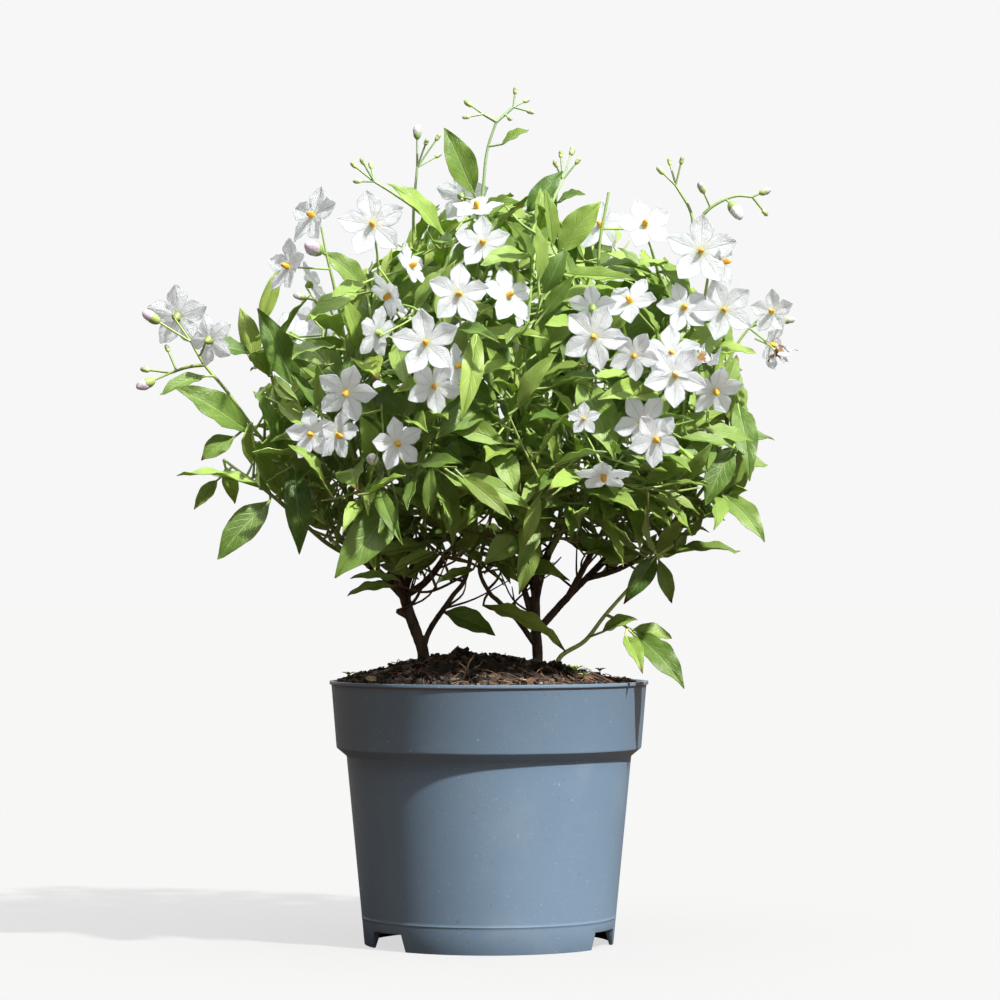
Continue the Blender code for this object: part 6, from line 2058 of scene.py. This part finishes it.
def makeLeaves(shoot, models, largeModels):
    made, (bright, brightSpread), (often, yellowing) = [], leafDraws["bright"], leafDraws["yellowing"]
    for index, leaf in enumerate(leaf for leaf in plan.leaves if leaf["shoot"] == shoot):
        chance = random.Random(f"{shoot} look {index}")
        model = chance.choice(largeModels if leaf["stalked"] else models)
        blade = copyOf(model, "blade", bentTo(leaf))
        height = (leaf["base"].z - leafDraws["upFrom"]) / leafDraws["upReach"]
        tone = min(1, max(0, chance.gauss(bright + leafDraws["brighterUp"] * height, brightSpread)))
        yellow = max(0, chance.gauss(*leafDraws["yellow"])) + (yellowing if chance.random() < often else 0)
        tone = (tone, min(1, yellow), 1.0 if chance.random() < leafDraws["brownTips"] else 0.0)
        paint(blade, leafTones.get((round(leaf["tip"].x), round(leaf["tip"].z)), tone))
        made.append(blade)
    piece = joined("leaves_" + shoot.removeprefix("shoot_"), made)
    thicken(piece, foliage["thickness"], material_offset=1)
    return settle(piece, 60, "foliage", shoot)


leafModels = [makeLeafModel(index, foliage["rows"], foliage["columns"]) for index in range(foliage["kinds"])]
largeModels = [makeLeafModel(f"large {index}", 14, 6) for index in range(foliage["kinds"])]
calyxModel = makeCalyxModel()
for shoot in shootStems:
    makeStems(shoot, calyxModel)
    makeLeaves(shoot, leafModels, largeModels)
dropModels(calyxModel, *leafModels, *largeModels)
print("shoots made")


bloomLook = {
    "leans": {"bloom_far_left": (0, -18), "bloom_left_of_crown": (0, -18), "bloom_left_top": (10, 12),
              "bloom_left_edge": (12, 14), "bloom_right_edge": (8, 10), "bloom_right_front": (6, 12),
              "bloom_left_raised": (6, 14), "bloom_left_pair": (4, 10), "bloom_right_nodding": (0, 12),
              "bloom_back_right": (0, -15), "bloom_back_left": (0, -12), "bloom_right_inner": (8, 8)},
    "lift": (-0.22, 0.3),
    "twist": 0.22,
    "witheredShut": 1.6,
    "crumple": ((0.22, 3.2), (0.6, 1.2)),  # how fine each fold is, and how deep
    "withered": (
        (("shoot_right_front", (109, -92, 304), 20, 60, 0, 9), (90, -78, 312)),
        (("shoot_right_outer", (150, -44, 312), 70, -50, 0, 8), (140, -34, 320)),
    ),
}


# The bloom with its corolla leaned a little, where the list says so.
def leaned(node, bloom):
    right, up = bloomLook["leans"].get(node, (0, 0))
    return (*bloom[:2], bloom[2] + right, bloom[3] + up, *bloom[4:])


# The corolla: five petals, each bent its own way, merged at their feet and given thickness.
def makeCorolla(bloom, models, seed, shut=0.0):
    chance = random.Random(seed)
    middle, ahead, flat, rise = bloomFrame(bloom)
    size = bloom[5]
    frameOf = np.array([flat, rise, ahead])
    mood = shut + chance.uniform(-0.15, 0.3)
    petals = []
    for k in range(5):
        lift = mood + chance.uniform(*bloomLook["lift"]) * 0.5
        twist, turn = chance.uniform(-1, 1) * bloomLook["twist"], math.radians(72 * k)

        def place(points):
            x, y, z = points.T.copy()
            free = np.maximum(0, x - petalModel["notch"])
            z = z + lift * free ** 2 + y * twist * free * 2
            local = np.stack([x * math.cos(turn) - y * math.sin(turn),
                              x * math.sin(turn) + y * math.cos(turn), z], 1)
            return np.array(middle) * mm + local @ frameOf * size * mm

        petals.append(copyOf(chance.choice(models), "petal", place))
    corolla = joined("corolla", petals)
    bpy.ops.object.mode_set(mode="EDIT")
    bpy.ops.mesh.select_all(action="SELECT")
    bpy.ops.mesh.remove_doubles(threshold=0.08 * mm)
    makeActive(corolla)
    thicken(corolla, petalModel["thickness"])
    return corolla


petalModels = [makePetalModel(index) for index in range(petalModel["kinds"])]
for node, blooms in bloomPlaces.items():
    corollas = [makeCorolla(leaned(node, bloom), petalModels, f"{node} {index}")
                for index, bloom in enumerate(blooms)]
    settle(joined("petals_" + node.removeprefix("bloom_"), corollas), 60, "petals", node)


# Noise of its own along each axis, the same on every run.
def noiseAlong(place):
    return Vector([noise.noise(place + skyward * 20 * axis) for axis in range(3)])


# Withered blooms: half shut, crumpled and browned, each on a thin stalk from the given place.
def makeWithered():
    for index, (bloom, root) in enumerate(bloomLook["withered"]):
        corolla = makeCorolla(bloom, petalModels, f"withered {index}", bloomLook["witheredShut"])
        middle, ahead, _, _ = bloomFrame(bloom)
        (wide, deep), (fine, shallow) = bloomLook["crumple"]
        for vert in corolla.data.vertices:
            place = vert.co / mm
            vert.co += (noiseAlong(place * wide) * deep + noiseAlong(place * fine) * shallow) * mm
        corolla.data.materials.append(finishes["withered"])
        for face in corolla.data.polygons:
            away = (face.center / mm - middle).length / bloom[5]
            face.material_index = int(noise.noise(face.center / mm * 0.3) > away * 1.2 - 0.6)
        line = smoothLine([middle + ahead, middle - ahead * 5, Vector(root)], 4)
        stalk = tubes("stalk", [(line, [0.5] * len(line))], 6, finishes["stem"])
        settle(joined(f"withered_bloom_{index}", [corolla, stalk]), 60, "petals")


makeWithered()


# What lies and grows on the soil: fallen petals and seedlings.
strays = {
    "petals": ((-59, -50, 9, 0.5), (20, -70, 6, 2.4), (48, 30, 7, 4.0)),
    "seedlings": ((45, -54, 7.0), (49, -50, 4.5), (-74, -22, 5.0), (-20, 55, 6.0), (60, 28, 5.0)),
    "seedlingTone": (0.9, 0.35, 0),
}


def makeStrays():
    shape, blades, lines, fallen = makeLeafModel("seedling", 6, 2), [], [], []
    for x, y, tall in strays["seedlings"]:
        foot = Vector((x, y, soilHeight(x, y)))
        top = foot + skyward * tall
        lines.append(([foot - skyward, foot.lerp(top, 0.5) + Vector((0.5, 0, 0)), top], [0.36, 0.32, 0.28]))
        for k in range(4):
            way = across(skyward, 1.7 * k + x)
            leaf = {"base": top, "tip": top + (way + skyward * 0.5) * tall * 0.7, "width": tall * 0.34,
                    "up": skyward - way * 0.5, "arch": 0.08, "fold": 0.3, "twist": 0.0}
            blades.append(copyOf(shape, "seedling leaf", bentTo(leaf)))
            paint(blades[-1], strays["seedlingTone"])
    dropModels(shape)
    leaves = joined("seedlings", blades)
    thicken(leaves, foliage["thickness"], material_offset=1)
    stems = tubes("seedling stems", lines, 6, finishes["stem"])
    settle(joined("seedlings", [leaves, stems]), 60, "foliage")
    for x, y, size, turn in strays["petals"]:
        spot = np.array(Vector((x, y, soilHeight(x, y) + 1.6))) * mm
        ahead = (across(skyward, turn) + skyward * 0.35).normalized()
        side = ahead.cross(skyward).normalized()
        frameOf = np.array([ahead, side, side.cross(ahead)])
        fallen.append(copyOf(petalModels[0], "fallen petal",
                             lambda points: spot + points @ frameOf * size * mm))
    petals = joined("fallen_petals", fallen)
    thicken(petals, petalModel["thickness"])
    petals.data.materials[0] = finishes["fallen"]
    settle(petals, 60, "petals")


makeStrays()
dropModels(*petalModels)
print("blooms made")


# All the anther cones as one piece.
def makeAnthers():
    model, cones = makeAntherModel(), []
    for node, blooms in bloomPlaces.items():
        for bloom in blooms:
            middle, ahead, _, _ = bloomFrame(leaned(node, bloom))
            lean = (ahead + across(ahead, len(cones)) * 0.06).normalized()
            place = stoodAt(middle - ahead * 0.3, lean, min(1, bloom[5] / 14), len(cones) * 0.7)
            cones.append(copyOf(model, "cone piece", place))
    dropModels(model)
    return settle(joined("anthers", cones), 50, "anthers", *bloomPlaces)


budLook = {
    "large": (7, 1.3, 1.12),  # longer buds than this grow so much, the others so much
    "young": (6.5, 1.5),
    "blush": (0.4, 0.95),
    "green": (0.6, 1.0),
}


# All the buds as one piece: small ones green, the largest white with a blush.
def makeBuds():
    model, buds = makeBudModel(), []
    chance = random.Random("buds")
    (length, larger, smaller), (youngTop, youngFade) = budLook["large"], budLook["young"]
    for _, kind, line, size, way in plan.stalks:
        if kind == "bud":
            full = size * (larger if size > length else smaller)
            bud = copyOf(model, "bud piece", stoodAt(line[0], -way, full, chance.uniform(0, math.tau)))
            young = max(0, min(1, (youngTop - size) / youngFade))
            blush = chance.uniform(*budLook["blush"]) * (1 - young * 0.5)
            paint(bud, (blush, young * chance.uniform(*budLook["green"]), 0))
            buds.append(bud)
    dropModels(model)
    return settle(joined("buds", buds), 80, "petals")


makeAnthers()
makeBuds()
print("anthers and buds made")


studio = {
    "eye": (0.0059, -1.9, 0.1916),
    "pitch": 1.34,
    "lens": 128.0,
    "sensor": 36,
    "lamps": {  # the way to each, the degrees that it fills, its strength and its colour
        "sun": ((0.44, -0.44, 0.7), 2.5, 6.9, (1, 0.985, 0.95)),
        "fill": ((0.12, -0.25, 1.3), 64.0, 2.7, (1, 1, 1)),
        "front": ((1, -1.2, 0.12), 60.0, 0.75, (1, 0.98, 0.94)),
        "back": ((-0.35, 1, 0.4), 50.0, 0.8, (1, 1, 1)),
    },
    "skyStrength": 0.13,
    "skyColour": (1, 0.97, 0.92, 1),
    "floorSize": 60.0,
    "floorColour": (0.1, 0.1, 0.1, 1),
    "floorGlow": 0.66,
    "bounceColour": (0.085, 0.06, 0.045, 1),
    "backdrop": (0.93, 0.93, 0.93, 1),
}


# A pale floor and backdrop that the camera sees, with their light on the plant set apart.
def makeFloorAndSky():
    deselect()
    bpy.ops.mesh.primitive_plane_add(size=studio["floorSize"])
    floor = bpy.context.object
    floor.name = "floor"
    material, tree, principled = newMaterial("pale floor")
    seen = tree.nodes.new("ShaderNodeLightPath").outputs["Is Camera Ray"]
    connect(tree, principled, {
        "Base Color": mixColour(tree, seen, studio["bounceColour"], studio["floorColour"]),
        "Roughness": 1.0, "Specular IOR Level": 0.0, "Emission Color": (1, 1, 1, 1),
        "Emission Strength": times(tree, seen, studio["floorGlow"])})
    floor.data.materials.append(material)
    world = bpy.data.worlds.new("studio")
    bpy.context.scene.world = world
    world.use_nodes = True
    tree = world.node_tree
    background = tree.nodes["Background"]
    connect(tree, background, {"Color": studio["skyColour"], "Strength": studio["skyStrength"]})
    backdrop = addNode(tree, "ShaderNodeBackground", Color=studio["backdrop"])
    seen = tree.nodes.new("ShaderNodeLightPath").outputs["Is Camera Ray"]
    mix = addNode(tree, "ShaderNodeMixShader", i0=seen, i1=background.outputs[0], i2=backdrop.outputs[0])
    tree.links.new(mix.outputs[0], tree.nodes["World Output"].inputs["Surface"])


def makeStudio():
    for name, (way, angle, strength, colour) in studio["lamps"].items():
        lamp = bpy.data.lights.new(name, "SUN")
        lamp.energy, lamp.angle, lamp.color = strength, math.radians(angle), colour
        shone = bpy.data.objects.new(name, lamp)
        bpy.context.scene.collection.objects.link(shone)
        shone.rotation_euler = Vector(way).to_track_quat("Z", "Y").to_euler()
    camera = bpy.data.objects.new("camera", bpy.data.cameras.new("camera"))
    camera.data.lens, camera.data.sensor_width = studio["lens"], studio["sensor"]
    camera.location = studio["eye"]
    camera.rotation_euler = (math.radians(90 + studio["pitch"]), 0, 0)
    bpy.context.scene.collection.objects.link(camera)
    bpy.context.scene.camera = camera
    bpy.context.scene.view_settings.view_transform = "Standard"


makeFloorAndSky()
makeStudio()
deselect()
